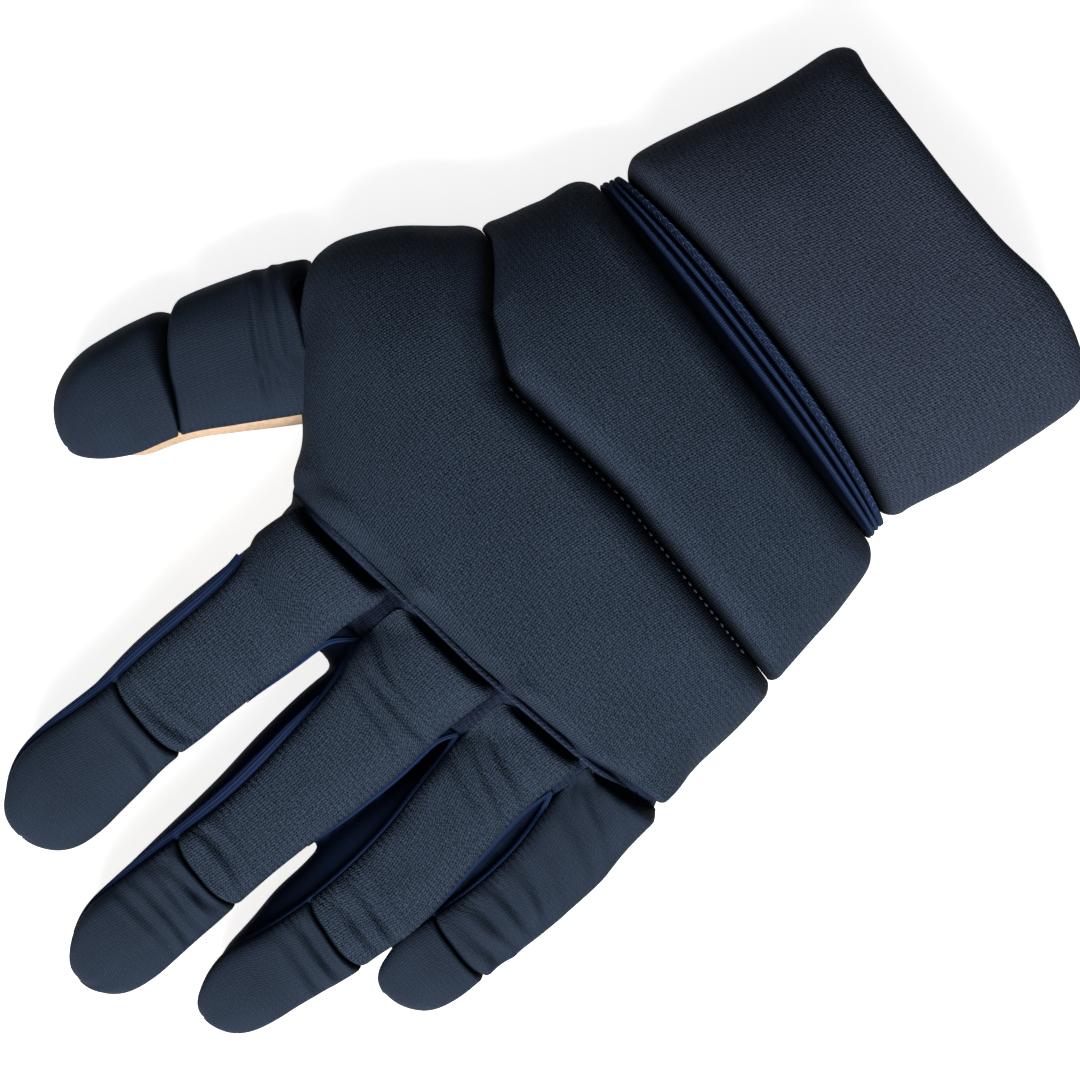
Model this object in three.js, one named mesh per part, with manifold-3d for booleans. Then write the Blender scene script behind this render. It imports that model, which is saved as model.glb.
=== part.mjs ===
// A padded stick-sport glove for the left hand, lying palm down, in millimetres.
// +Y runs from the wrist to the fingertips, +X to the thumb's side and +Z out of the back of the hand.
// The origin lies under the middle of the palm, on the surface that the glove rests on.
import * as THREE from "three";
import { mergeVertices } from "three/addons/utils/BufferGeometryUtils.js";
import Module from "manifold-3d";

const wasm = await Module();
wasm.setup();

// Driving dimensions
const palmLength = 100; // from the wrist band's middle to the knuckle seam, about
const handWidth = 112; // across the knuckles, outside the padding
const handHeight = 40; // the lining's crest above the rest surface
const skin = 1.6; // leather and knitted cloth
const gap = 0.3; // between two neighbouring pieces
const backPad = 9; // foam on the back of the hand
const sidePad = 6; // the same foam where it wraps round the edges of the hand
const padEdge = 0.9; // what is left of a pad's thickness along its seams
const padRound = 5.5; // how far from its seam a back pad reaches its full thickness
const padDepth = 1.5; // how far a pad reaches under the cloth that it lies on, before it is cut
const fingerPad = 4.2;
const fingerPadRound = 5;
const leatherHeight = 6.3; // how far the palm leather comes up the sides
const leatherSlit = 0.5; // between the leather's edge and the cloth
const sideWrap = 101; // degrees from the crest to the lower edge of the back pads
const bandThickness = 3.2;
const bandRidge = 0.9; // height of the elastic band's three ridges
const bandRound = 1; // of its two edges
const bandWidth = 6.2; // at the sides of the wrist
const bandBow = 3.6; // added on the back of the wrist
const cuffLength = 59;
const cuffWidth = 106;
const cuffHeight = 48;
const cuffWall = 8;
const cuffRound = 9;
const cuffLip = 0.28; // of the wall, left at the cuff's two ends

// Sections of the hand's lining. along is a share of palmLength, ulnar, radial and crest are shares
// of handWidth, and top, level (of the widest point) and bottom are shares of handHeight.
const HAND = [
  { along: -0.59, ulnar: -0.444, radial: 0.424, crest: 0, top: 0.77, level: 0.38, bottom: 0.095 },
  { along: -0.54, ulnar: -0.448, radial: 0.43, crest: 0, top: 0.79, level: 0.38, bottom: 0.09 },
  { along: -0.47, ulnar: -0.486, radial: 0.464, crest: 0, top: 0.85, level: 0.39, bottom: 0.05 },
  { along: -0.38, ulnar: -0.51, radial: 0.471, crest: 0, top: 0.9, level: 0.4, bottom: 0 },
  { along: -0.22, ulnar: -0.54, radial: 0.518, crest: 0.018, top: 0.95, level: 0.42, bottom: 0 },
  { along: -0.05, ulnar: -0.574, radial: 0.622, crest: 0.018, top: 0.985, level: 0.42, bottom: 0 },
  { along: 0.12, ulnar: -0.594, radial: 0.662, crest: 0.027, top: 1, level: 0.42, bottom: 0 },
  { along: 0.28, ulnar: -0.617, radial: 0.545, crest: 0, top: 1, level: 0.42, bottom: 0 },
  { along: 0.4, ulnar: -0.58, radial: 0.405, crest: -0.027, top: 0.96, level: 0.4, bottom: 0 },
  { along: 0.5, ulnar: -0.464, radial: 0.33, crest: -0.045, top: 0.85, level: 0.38, bottom: 0.03 },
  { along: 0.58, ulnar: -0.32, radial: 0.2, crest: -0.054, top: 0.62, level: 0.36, bottom: 0.12 },
];

// Seams across the back, in shares of handWidth (across) and palmLength (along).
const WRIST_SEAM = [
  { across: -0.6, along: -0.12 },
  { across: -0.09, along: -0.11 },
  { across: 0.23, along: -0.057 },
  { across: 0.27, along: -0.062 },
  { across: 0.54, along: -0.245 },
];
const KNUCKLE_SEAM = [
  { across: -0.66, along: 0.27 },
  { across: -0.52, along: 0.33 },
  { across: -0.18, along: 0.41 },
  { across: 0.18, along: 0.47 },
  { across: 0.36, along: 0.505 },
];
const padEnd = -0.515; // where the wrist pad meets the band, a share of palmLength

// Fingers. Each row of at gives a share of the length, the width as a share of the finger's width,
// and the pad's two edges as shares of the half width. heading is the finger's first direction and
// turn its change to the tip, in degrees to the thumb's side; late is how late it bends, and root is
// the direction of the bone behind the knuckle. joint is the share at which the pad is cut in two.
const FINGERS = [
  {
    name: "index", length: 101, width: 28, knuckle: 36.5, tip: 19, across: 0.174, along: 0.5,
    root: 7, heading: 3.5, turn: -13.5, late: 1, joint: 0.62,
    at: [
      { share: 0, width: 1.06, ulnar: -0.97, radial: 1 },
      { share: 0.14, width: 1.06, ulnar: -0.95, radial: 1 },
      { share: 0.22, width: 1.03, ulnar: -0.94, radial: 0.88 },
      { share: 0.32, width: 1.01, ulnar: -0.94, radial: 0.79 },
      { share: 0.53, width: 0.99, ulnar: -0.94, radial: 0.78 },
      { share: 0.67, width: 0.92, ulnar: -0.95, radial: 0.82 },
      { share: 0.83, width: 0.92, ulnar: -0.96, radial: 0.9 },
      { share: 1, width: 0.9, ulnar: -0.97, radial: 0.94 },
    ],
  },
  {
    name: "middle", length: 115.5, width: 27, knuckle: 37.5, tip: 19, across: -0.13, along: 0.43,
    root: 0, heading: -1.5, turn: -5, late: 1, joint: 0.688,
    at: [
      { share: 0, width: 1.05, ulnar: -0.97, radial: 0.97 },
      { share: 0.16, width: 1.07, ulnar: -0.94, radial: 0.93 },
      { share: 0.28, width: 1.12, ulnar: -0.91, radial: 0.76 },
      { share: 0.42, width: 1.06, ulnar: -0.91, radial: 0.64 },
      { share: 0.56, width: 0.94, ulnar: -0.94, radial: 0.64 },
      { share: 0.75, width: 0.89, ulnar: -0.95, radial: 0.77 },
      { share: 1, width: 0.83, ulnar: -0.96, radial: 0.9 },
    ],
  },
  {
    name: "ring", length: 102, width: 27, knuckle: 35, tip: 18.5, across: -0.397, along: 0.38,
    root: -10, heading: -3.5, turn: 2, late: 1, joint: 0.675,
    at: [
      { share: 0, width: 0.9, ulnar: -0.84, radial: 0.95 },
      { share: 0.2, width: 0.97, ulnar: -0.76, radial: 0.84 },
      { share: 0.4, width: 1.1, ulnar: -0.85, radial: 0.52 },
      { share: 0.52, width: 1.13, ulnar: -0.93, radial: 0.42 },
      { share: 0.64, width: 1.01, ulnar: -0.96, radial: 0.43 },
      { share: 0.73, width: 0.97, ulnar: -0.96, radial: 0.47 },
      { share: 0.82, width: 0.84, ulnar: -0.96, radial: 0.62 },
      { share: 0.92, width: 0.74, ulnar: -0.96, radial: 0.84 },
      { share: 1, width: 0.7, ulnar: -0.96, radial: 0.9 },
    ],
  },
  {
    name: "little", length: 71.5, width: 24, knuckle: 30.5, tip: 18, across: -0.592, along: 0.31,
    root: -26, heading: -3.5, turn: 0, late: 1, joint: 0.77,
    at: [
      { share: 0, width: 0.82, ulnar: -1, radial: 0.9 },
      { share: 0.2, width: 0.9, ulnar: -1, radial: 0.78 },
      { share: 0.4, width: 0.98, ulnar: -1, radial: 0.5 },
      { share: 0.6, width: 0.97, ulnar: -1, radial: 0.45 },
      { share: 0.76, width: 0.9, ulnar: -1, radial: 0.56 },
      { share: 1, width: 0.86, ulnar: -1, radial: 0.8 },
    ],
  },
];
const THUMB = {
  name: "thumb", length: 92, width: 29, knuckle: 33, tip: 19, across: 0.434, along: -0.02,
  root: 27, heading: 27, turn: -32, late: 3, joint: 0.676,
  at: [
    { share: 0, width: 1, ulnar: -0.86, radial: 1 },
    { share: 0.3, width: 1.2, ulnar: -0.86, radial: 1 },
    { share: 0.45, width: 1.19, ulnar: -0.87, radial: 1 },
    { share: 0.6, width: 1.09, ulnar: -0.88, radial: 1 },
    { share: 0.75, width: 0.95, ulnar: -0.88, radial: 1 },
    { share: 1, width: 0.86, ulnar: -0.88, radial: 1 },
  ],
};
const thumbWrap = 104; // degrees from the crest to the thumb pads' lower edge
const thumbPadStart = 0.2; // under the knuckle pad's edge, a share of the thumb's length
const rootLength = 22; // how far a finger's tube runs back into the hand, getting narrower
const rootShare = 0.6;
const rootSlit = 1.3; // between a finger's pad and the knuckle pad
const heightFall = 1.5; // how soon a finger gets lower away from its knuckle
const tipReach = 0.45; // length of a finger's round tip, a share of its width
const noseShare = 0.16; // of the section that is left at the very tip
const fingerArch = 3; // how far the middle of a finger lifts off the surface
const fingerLevel = 0.44; // height of a finger's widest point, a share of its height
const gussetEdge = 1.4; // width of the strip by which a pad laps over the side panel under it
const crotch = [ // inner corners of the side panels, from the little finger's side to the thumb's
  { across: -0.75, along: 0.2 },
  { across: -0.66, along: 0.31 },
  { across: -0.5, along: 0.46 },
  { across: -0.281, along: 0.555 },
  { across: 0.004, along: 0.59 },
  { across: 0.29, along: 0.69 },
  { across: 0.5, along: 0.69 },
];
// Soft webs of stretch cloth at the roots of two fingers. long and wide are half sizes in shares of
// palmLength and handWidth, and high is a share of handHeight.
const webLift = 0.62; // height of a web's middle, a share of its height
const WEBS = [
  { across: 0.025, along: 0.57, long: 0.13, wide: 0.062, high: 0.5 },
  { across: -0.281, along: 0.66, long: 0.18, wide: 0.042, high: 0.36 },
  { across: -0.515, along: 0.52, long: 0.14, wide: 0.045, high: 0.36 },
];

// The cuff's outline outside. along is a share of cuffLength from the band, and the rest are shares
// of cuffWidth and cuffHeight.
const CUFF = [
  { along: 0, ulnar: -0.515, radial: 0.497, crest: 0, top: 0.77, level: 0.4 },
  { along: 0.1, ulnar: -0.517, radial: 0.503, crest: 0, top: 0.87, level: 0.42 },
  { along: 0.35, ulnar: -0.543, radial: 0.477, crest: -0.03, top: 0.95, level: 0.44 },
  { along: 0.6, ulnar: -0.556, radial: 0.446, crest: -0.06, top: 0.98, level: 0.45 },
  { along: 0.85, ulnar: -0.563, radial: 0.43, crest: -0.07, top: 1, level: 0.46 },
  { along: 1.05, ulnar: -0.56, radial: 0.424, crest: -0.075, top: 1, level: 0.46 },
];
// How far the cuff's rim reaches at each angle round it, a share of cuffLength.
const RIM = [
  { angle: -180, along: 1 },
  { angle: -90, along: 0.955 },
  { angle: -60, along: 1.005 },
  { angle: -28, along: 1.055 },
  { angle: -6, along: 1.022 },
  { angle: 30, along: 1.02 },
  { angle: 62, along: 1.03 },
  { angle: 90, along: 1.035 },
  { angle: 180, along: 1 },
];

const NAVY = new THREE.MeshStandardMaterial({ color: 0x232e3e, roughness: 0.82, metalness: 0 });
const BLUE = new THREE.MeshStandardMaterial({ color: 0x1e2b52, roughness: 0.7, metalness: 0 });
const LEATHER = new THREE.MeshStandardMaterial({ color: 0xd9bf9f, roughness: 0.75, metalness: 0 });

// A table's column at a place between its rows, along a smooth curve through them.
function column(rows, key, name, at) {
  const last = rows.length - 1;
  const clamped = THREE.MathUtils.clamp(at, rows[0][key], rows[last][key]);
  let i = 0;
  while (i < last - 1 && rows[i + 1][key] < clamped) i += 1;
  const slope = (k) => {
    const a = rows[Math.max(k - 1, 0)];
    const b = rows[Math.min(k + 1, last)];
    return (b[name] - a[name]) / (b[key] - a[key]);
  };
  const span = rows[i + 1][key] - rows[i][key];
  const t = (clamped - rows[i][key]) / span;
  const rise = t * t * (3 - 2 * t);
  return rows[i][name] * (1 - rise) + rows[i + 1][name] * rise
    + span * t * (1 - t) * ((1 - t) * slope(i) - t * slope(i + 1));
}

// The same in straight lines, for seams with corners.
function straight(rows, key, name, at) {
  let i = 0;
  while (i < rows.length - 2 && rows[i + 1][key] < at) i += 1;
  const t = (at - rows[i][key]) / (rows[i + 1][key] - rows[i][key]);
  return THREE.MathUtils.lerp(rows[i][name], rows[i + 1][name], THREE.MathUtils.clamp(t, 0, 1));
}

const radians = THREE.MathUtils.degToRad;
const power = (value, exponent) => Math.sign(value) * Math.abs(value) ** exponent;
const numbers = (count, at) => Array.from({ length: count }, (_, i) => at(i));

// A quarter-round rise from 0 at a seam to 1 at the radius.
const rounded = (distance, radius) => {
  const t = 1 - THREE.MathUtils.clamp(distance / radius, 0, 1);
  return Math.sqrt(Math.max(0, 1 - t * t));
};

// Across and up from a section's crest line, for an angle from the crest, 90 at the thumb's side.
// A power below 1 makes the section squarer than an ellipse.
const handPower = 2 / 2.4;
const fingerPower = 2 / 2.7;
const palmPower = 2 / 3.2;
function outline(angle, backPower) {
  const s = Math.sin(radians(angle));
  const c = Math.cos(radians(angle));
  const bulge = c > 0 ? backPower : palmPower;
  return [power(s, bulge), power(c, bulge)];
}

// Hand: a point on its lining. pad lifts it outwards, and cloth moves it inwards.
const flatShare = 0.16; // of the level, by which the round underside is cut flat
function handPoint(y, angle, pad = 0, cloth = 0) {
  const at = (name) => column(HAND, "along", name, y / palmLength);
  const crest = at("crest") * handWidth;
  const side = (angle >= 0 ? at("radial") : at("ulnar")) * handWidth - crest;
  const [across, up] = outline(angle, handPower);
  const level = at("level") * handHeight;
  const bottom = Math.max(at("bottom"), 0) * handHeight;
  const rise = at("top") * handHeight - level + pad - cloth;
  const fall = (level - bottom) * (1 + flatShare) + Math.min(pad, 0) - cloth;
  const z = level + up * (up > 0 ? rise : fall);
  return new THREE.Vector3(
    crest + across * (Math.abs(side) + pad - cloth),
    y,
    Math.max(z, bottom + cloth),
  );
}

// Finger or thumb: its centre line in plan, worked out once by adding up short steps.
const LINE_STEPS = 40;
function spineOf(finger) {
  const points = [];
  const step = 1 / LINE_STEPS;
  const first = radians(finger.root);
  let x = finger.across * handWidth - Math.sin(first) * rootLength;
  let y = finger.along * palmLength - Math.cos(first) * rootLength;
  points.push({ share: -rootLength / finger.length, x, y, dx: Math.sin(first), dy: Math.cos(first) });
  x = finger.across * handWidth;
  y = finger.along * palmLength;
  for (let i = 0; i <= LINE_STEPS; i += 1) {
    const share = i * step;
    const way = radians(finger.heading + finger.turn * share ** finger.late);
    points.push({ share, x, y, dx: Math.sin(way), dy: Math.cos(way) });
    x += Math.sin(way) * step * finger.length;
    y += Math.cos(way) * step * finger.length;
  }
  return points;
}
const SPINES = new Map([...FINGERS, THUMB].map((finger) => [finger, spineOf(finger)]));

// Where a finger's round tip starts, as a share of its length.
const tipStart = (finger) => 1 - (tipReach * finger.width) / finger.length;

function fingerPoint(finger, share, angle, pad = 0, cloth = 0) {
  const line = SPINES.get(finger);
  const [x, y, dx, dy] = ["x", "y", "dx", "dy"].map((name) => straight(line, "share", name, share));
  const grow = pad - cloth;
  const inside = THREE.MathUtils.clamp(share, 0, 1);
  const round = THREE.MathUtils.clamp((share - tipStart(finger)) / (1 - tipStart(finger)), 0, 1);
  const keep = Math.max(Math.sqrt(1 - round * round), noseShare);
  const before = THREE.MathUtils.clamp((-share * finger.length) / rootLength, 0, 1);
  const narrowed = THREE.MathUtils.lerp(1, rootShare, before);
  const half = (column(finger.at, "share", "width", inside) * finger.width * narrowed) / 2;
  const top = finger.tip + (finger.knuckle - finger.tip) * (1 - inside) ** heightFall;
  const arch = fingerArch * Math.sin(Math.PI * Math.min(1, inside * 1.12)) ** 2;
  const level = arch + (top - arch) * fingerLevel;
  const [across, up] = outline(angle, fingerPower);
  const wide = (half + grow) * keep;
  const rise = (top - level + grow) * keep;
  const fall = ((level - arch) * (1 + flatShare) + Math.min(pad, 0) - cloth) * keep;
  const z = level + up * Math.max(up > 0 ? rise : fall, 0.1);
  return new THREE.Vector3(
    x + dy * across * Math.max(wide, 0.1) + dx * grow * round,
    y - dx * across * Math.max(wide, 0.1) + dy * grow * round,
    Math.max(z, arch + cloth),
  );
}

// The angle at which a finger's surface lies a share of its half width from the middle.
const angleAt = (share) =>
  THREE.MathUtils.radToDeg(Math.asin(power(THREE.MathUtils.clamp(share, -1, 1), 1 / fingerPower)));

// A closed surface through loops of points. The two ends are closed flat, or meet each other.
function loft(loops, meets = false) {
  const count = loops[0].length;
  const index = [];
  const id = (i, j) => (i % loops.length) * count + (j % count);
  const last = meets ? loops.length : loops.length - 1;
  for (let i = 0; i < last; i += 1)
    for (let j = 0; j < count; j += 1) {
      index.push(id(i, j), id(i, j + 1), id(i + 1, j));
      index.push(id(i + 1, j), id(i, j + 1), id(i + 1, j + 1));
    }
  if (!meets)
    for (let j = 0; j < count / 2 - 1; j += 1) {
      const far = count - 1 - j;
      index.push(j, far, j + 1, j + 1, far, far - 1);
      const end = (loops.length - 1) * count;
      index.push(end + j, end + j + 1, end + far, end + j + 1, end + far - 1, end + far);
    }
  const points = loops.flat();
  const geometry = new THREE.BufferGeometry().setFromPoints(points).setIndex(index);
  return solidOf(geometry);
}

function solidOf(geometry) {
  const merged = mergeVertices(geometry, 1e-3);
  const make = (order) => new wasm.Manifold(new wasm.Mesh({
    numProp: 3,
    vertProperties: new Float32Array(merged.attributes.position.array),
    triVerts: new Uint32Array(order),
  }));
  const order = Array.from(merged.index.array);
  const solid = make(order);
  return solid.volume() > 0 ? solid : make(order.reverse());
}

function geometryOf(solid) {
  const { numVert, numProp, vertProperties, triVerts } = solid.getMesh();
  const places = new Float32Array(numVert * 3);
  for (let i = 0; i < numVert; i += 1)
    places.set(vertProperties.subarray(i * numProp, i * numProp + 3), i * 3);
  const geometry = new THREE.BufferGeometry();
  geometry.setAttribute("position", new THREE.BufferAttribute(places, 3));
  geometry.setIndex(new THREE.BufferAttribute(new Uint32Array(triVerts), 1));
  return geometry;
}

const joined = (solids) => solids.reduce((a, b) => a.add(b));
const largest = (solid) => solid.decompose().sort((a, b) => b.volume() - a.volume())[0];
// Only the largest body is kept, so no crumb of a cut is left beside a piece.
function cleaned(solid) {
  let kept = largest(solid);
  for (let i = 0; i < 3; i += 1) kept = largest(solidOf(geometryOf(kept)));
  return kept;
}

// Shares along a patch, closer together near both seams, where the padding rounds off.
function shares(length, round, middle) {
  const near = [0, 0.28, 1].map((t) => (t * round) / length);
  const inner = numbers(middle, (i) =>
    THREE.MathUtils.lerp(near[2], 1 - near[2], (i + 1) / (middle + 1)));
  return [...near, ...inner, ...near.map((t) => 1 - t).reverse()];
}

// A padded or plain patch: outside points over the shares, back along the inside points.
function patch(acrossShares, alongShares, outside, inside) {
  return loft(acrossShares.map((u) => [
    ...alongShares.map((v) => outside(u, v)),
    ...[...alongShares].reverse().map((v) => inside(u, v)),
  ]));
}

const HAND_FACETS = 20;
const ring = (count, first = 0) => numbers(count, (i) => first + (360 * i) / count);

// The hand's tube from the wrist to where the fingers take over. past is how far it runs on at the wrist.
const HAND_STATIONS = [-0.575, -0.54, -0.47, -0.34, -0.15, 0.05, 0.2, 0.33, 0.45, 0.58];
const HAND_INSIDE = [-0.575, -0.49, -0.28, 0.02, 0.26, 0.42, 0.56];
function handTube({ stations, facets, pad = 0, cloth = 0, past = 0 }) {
  const all = past ? [stations[0] - past / palmLength, ...stations] : stations;
  return loft(all.map((share) =>
    ring(facets).map((angle) => handPoint(share * palmLength, angle, pad, cloth))));
}

function fingerTube(finger, { steps, facets, first = 0, tip, pad = 0, cloth = 0 }) {
  const straightPart = tipStart(finger);
  const stations = [
    -rootLength / finger.length,
    ...numbers(steps, (i) => (straightPart * i) / (steps - 1)),
    ...tip.map((t) => THREE.MathUtils.lerp(straightPart, 1, t)),
  ];
  return loft(stations.map((share) =>
    ring(facets, first).map((angle) => fingerPoint(finger, share, angle, pad, cloth))));
}

function web({ across, along, long, wide, high }, grow) {
  const geometry = new THREE.SphereGeometry(1, 8, 6);
  geometry.deleteAttribute("normal").deleteAttribute("uv");
  geometry.scale(wide * handWidth + grow, long * palmLength + grow, (high * handHeight) / 2 + grow);
  geometry.translate(across * handWidth, along * palmLength, webLift * high * handHeight);
  return solidOf(geometry);
}

// Half spaces, as boxes far larger than the glove.
const FAR = 4 * palmLength;
function slab(low, high) {
  const geometry = new THREE.BoxGeometry(2 * FAR, 2 * FAR, high - low);
  geometry.deleteAttribute("normal").deleteAttribute("uv");
  geometry.translate(0, 0, (low + high) / 2);
  return solidOf(geometry);
}

// Everything on the wrist's side of a line across the fingers' roots.
function backOfHand(grow) {
  const shape = new THREE.Shape();
  shape.moveTo(-FAR, -FAR);
  shape.lineTo(-FAR, crotch[0].along * palmLength + grow);
  crotch.forEach(({ across, along }) => shape.lineTo(across * handWidth, along * palmLength + grow));
  shape.lineTo(FAR, crotch.at(-1).along * palmLength + grow);
  shape.lineTo(FAR, -FAR);
  const geometry = new THREE.ExtrudeGeometry(shape, { depth: FAR, bevelEnabled: false });
  geometry.deleteAttribute("normal").deleteAttribute("uv");
  return solidOf(geometry);
}

// The part of a finger's wall that lies under its pad, as a thick wedge.
const wedgeOut = 1.5;
const wedgeIn = 6;
const wedgeTip = 0.9; // past this share the wedge runs straight ahead
function wedge(finger, { across, along, angleOf, out, deep }) {
  const end = SPINES.get(finger).at(-1);
  const at = (pad) => (u, v) => {
    const past = Math.max(v - wedgeTip, 0) * finger.length;
    const point = fingerPoint(finger, Math.min(v, wedgeTip), angleOf(u, v), pad);
    return point.add(new THREE.Vector3(end.dx * past, end.dy * past, 0));
  };
  return patch(across, along, at(out), at(-deep));
}
const tipOpening = 40; // degrees by which the side panels end short of the tip
function underPad(finger, grow) {
  return wedge(finger, {
    across: [0, 0.25, 0.5, 0.75, 1],
    along: [0, 0.22, 0.42, 0.62, 0.82, 0.92, 1.02 + grow / finger.length],
    angleOf: (u, v) => {
      const share = Math.min(v, 1);
      const open = THREE.MathUtils.smoothstep(share, 0.8, 0.98) * tipOpening;
      const half = (column(finger.at, "share", "width", share) * finger.width) / 2;
      const lap = THREE.MathUtils.radToDeg((gussetEdge - grow) / half);
      const [from, to] = padEdges(finger)(share);
      return THREE.MathUtils.lerp(from + lap - open, to - lap + open, u);
    },
    out: wedgeOut + grow,
    deep: wedgeIn + grow,
  });
}
// The thumb's wall on its palm side.
function thumbPalmSide(grow) {
  const lap = THREE.MathUtils.radToDeg((3 * grow) / THUMB.width);
  const from = thumbWrap - gussetEdge - lap;
  const to = 360 + angleAt(THUMB.at[0].ulnar) + gussetEdge + lap;
  return wedge(THUMB, {
    across: [0, 0.2, 0.4, 0.6, 0.8, 1],
    along: [-0.2, 0.1, 0.3, 0.5, 0.7, 0.85, 0.95, 1.1 + grow / THUMB.length],
    angleOf: (u) => THREE.MathUtils.lerp(from, to, u),
    out: wedgeOut * 2 + grow,
    deep: wedgeIn * 1.6 + grow,
  });
}
// The front of a finger's tip, where its two side panels end.
const frontShare = 0.34; // its radius, a share of the finger's width
function tipFront(finger, grow) {
  const { x, y } = SPINES.get(finger).at(-1);
  const size = finger.width * frontShare + grow;
  const geometry = new THREE.SphereGeometry(size, 8, 6);
  geometry.deleteAttribute("normal").deleteAttribute("uv");
  geometry.translate(x, y, finger.tip * fingerLevel);
  return solidOf(geometry);
}

// Pads on the back of the hand. The place along the hand where a seam crosses an angle round it.
function seamAt(seam, angle) {
  let y = seam[1].along * palmLength;
  for (let i = 0; i < 12; i += 1) {
    const { x } = handPoint(y, angle, sidePad);
    y = straight(seam, "across", "along", x / handWidth) * palmLength;
  }
  return y;
}
function padThickness(angle, fromNear, toFar) {
  const full = THREE.MathUtils.lerp(backPad, sidePad, Math.abs(Math.sin(radians(angle))) ** 2);
  const lower = radians(sideWrap - Math.abs(angle)) * handHeight * 0.5;
  const rise = rounded(fromNear, padRound) * rounded(toFar, padRound) * rounded(lower, padRound);
  return padEdge + (full - padEdge) * rise;
}
const PAD_ANGLES = [-1, -0.96, -0.85, -0.67, -0.46, -0.22, 0, 0.22, 0.46, 0.67, 0.85, 0.96, 1];
function backPadSolid({ near, far, length, grow = 0 }) {
  const angles = PAD_ANGLES.map((t) => t * (sideWrap + grow));
  const between = (angle, v) => THREE.MathUtils.lerp(near(angle) - grow, far(angle) + grow, v);
  return patch(angles, shares(length, padRound, 3), (angle, v) => {
    const y = between(angle, v);
    const pad = padThickness(angle, Math.max(y - near(angle), 0), Math.max(far(angle) - y, 0));
    return handPoint(y, angle, pad + grow);
  }, (angle, v) => handPoint(between(angle, v), angle, -padDepth));
}

// Pads along a finger. from and to give the two ends at a place across the pad, -1 to 1.
const PAD_ACROSS = [-1, -0.86, -0.5, 0, 0.5, 0.86, 1];
const padEdges = (finger) => (share) => [
  angleAt(column(finger.at, "share", "ulnar", share)),
  angleAt(column(finger.at, "share", "radial", share)),
];
function fingerPadSolid(finger, { from, to, edges, length, grow = 0 }) {
  const slack = grow / finger.length;
  const end = (u) => Math.min(to(u) + slack, 1);
  const pointAt = (pad) => (u, v) => {
    const share = THREE.MathUtils.lerp(from(u) - slack, end(u), v);
    const half = (column(finger.at, "share", "width", share) * finger.width) / 2;
    const lap = THREE.MathUtils.radToDeg(grow / half);
    const [low, high] = edges(share);
    const angle = THREE.MathUtils.lerp(low - lap, high + lap, (u + 1) / 2);
    const side = radians(Math.max(Math.min(angle - low, high - angle), 0)) * half;
    const near = Math.max(share - from(u), 0) * finger.length;
    const far = to(u) >= 1 ? fingerPadRound : Math.max(to(u) - share, 0) * finger.length;
    return fingerPoint(finger, share, angle, pad(side, near, far));
  };
  const lifted = (side, near, far) => {
    const rise = rounded(side, fingerPadRound) * rounded(near, fingerPadRound * 0.8)
      * rounded(far, fingerPadRound * 0.8);
    return padEdge + (fingerPad - padEdge) * rise + grow;
  };
  return patch(PAD_ACROSS, shares(length, fingerPadRound, 2), pointAt(lifted), pointAt(() => -padDepth));
}
// Where a finger's pad starts, just past the knuckle seam.
function rootAt(finger, u) {
  const [low, high] = padEdges(finger)(0);
  const angle = THREE.MathUtils.lerp(low, high, (u + 1) / 2);
  let share = 0;
  for (let i = 0; i < 6; i += 1) {
    const { x, y } = fingerPoint(finger, share, angle);
    const seam = straight(KNUCKLE_SEAM, "across", "along", x / handWidth) * palmLength;
    share += (seam + rootSlit - y) / finger.length;
  }
  return share;
}
const jointBow = 0.025; // of the cut between a finger's two pads, a share of its length
const jointAt = (finger, u) => finger.joint + jointBow * (1 - u * u);
function longPad(finger, grow = 0) {
  return fingerPadSolid(finger, {
    from: (u) => rootAt(finger, u),
    to: (u) => jointAt(finger, u) - (0.5 * gap) / finger.length,
    edges: padEdges(finger),
    length: finger.joint * finger.length,
    grow,
  });
}
function tipPad(finger, grow = 0) {
  return fingerPadSolid(finger, {
    from: (u) => jointAt(finger, u) + (0.5 * gap) / finger.length,
    to: () => 1,
    edges: padEdges(finger),
    length: (1 - finger.joint) * finger.length,
    grow,
  });
}

// Elastic band and cuff, as rings whose wall follows a closed outline.
const wristEnd = -0.59 * palmLength;
const bandStart = padEnd * palmLength - gap;
const bandEnd = (angle) => bandStart - bandWidth - bandBow * Math.max(0, Math.cos(radians(angle))) ** 2;
function ringSolid(count, profile) {
  return loft(ring(count).map((angle) => profile(angle)), true);
}
const bandShares = [0, 0.1, 0.2, 0.35, 0.5, 0.65, 0.8, 0.9, 1];
function bandSolid() {
  return ringSolid(HAND_FACETS, (angle) => {
    const y = (v) => THREE.MathUtils.lerp(bandStart, bandEnd(angle), v);
    const outside = (v) => {
      const ridge = bandRidge * Math.abs(Math.cos(v * Math.PI * 2.5)) - bandRidge;
      const rise = rounded(Math.min(v, 1 - v) * bandWidth, bandRound);
      return ringPoint(y(v), angle, gap + (bandThickness + ridge) * Math.max(rise, 0.3));
    };
    return [
      ...bandShares.map(outside),
      ringPoint(y(1), angle, gap),
      ringPoint(y(0), angle, gap),
    ];
  });
}
// The hand's section at the wrist, grown evenly all round.
function ringPoint(y, angle, grow) {
  const point = handPoint(Math.max(y, wristEnd), angle, grow);
  const [, up] = outline(angle, handPower);
  point.y = y;
  if (up < 0) {
    const under = handPoint(Math.max(y, wristEnd), angle);
    point.z = under.z + Math.max(up * 1.2, -1) * grow;
  }
  return point;
}

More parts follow.
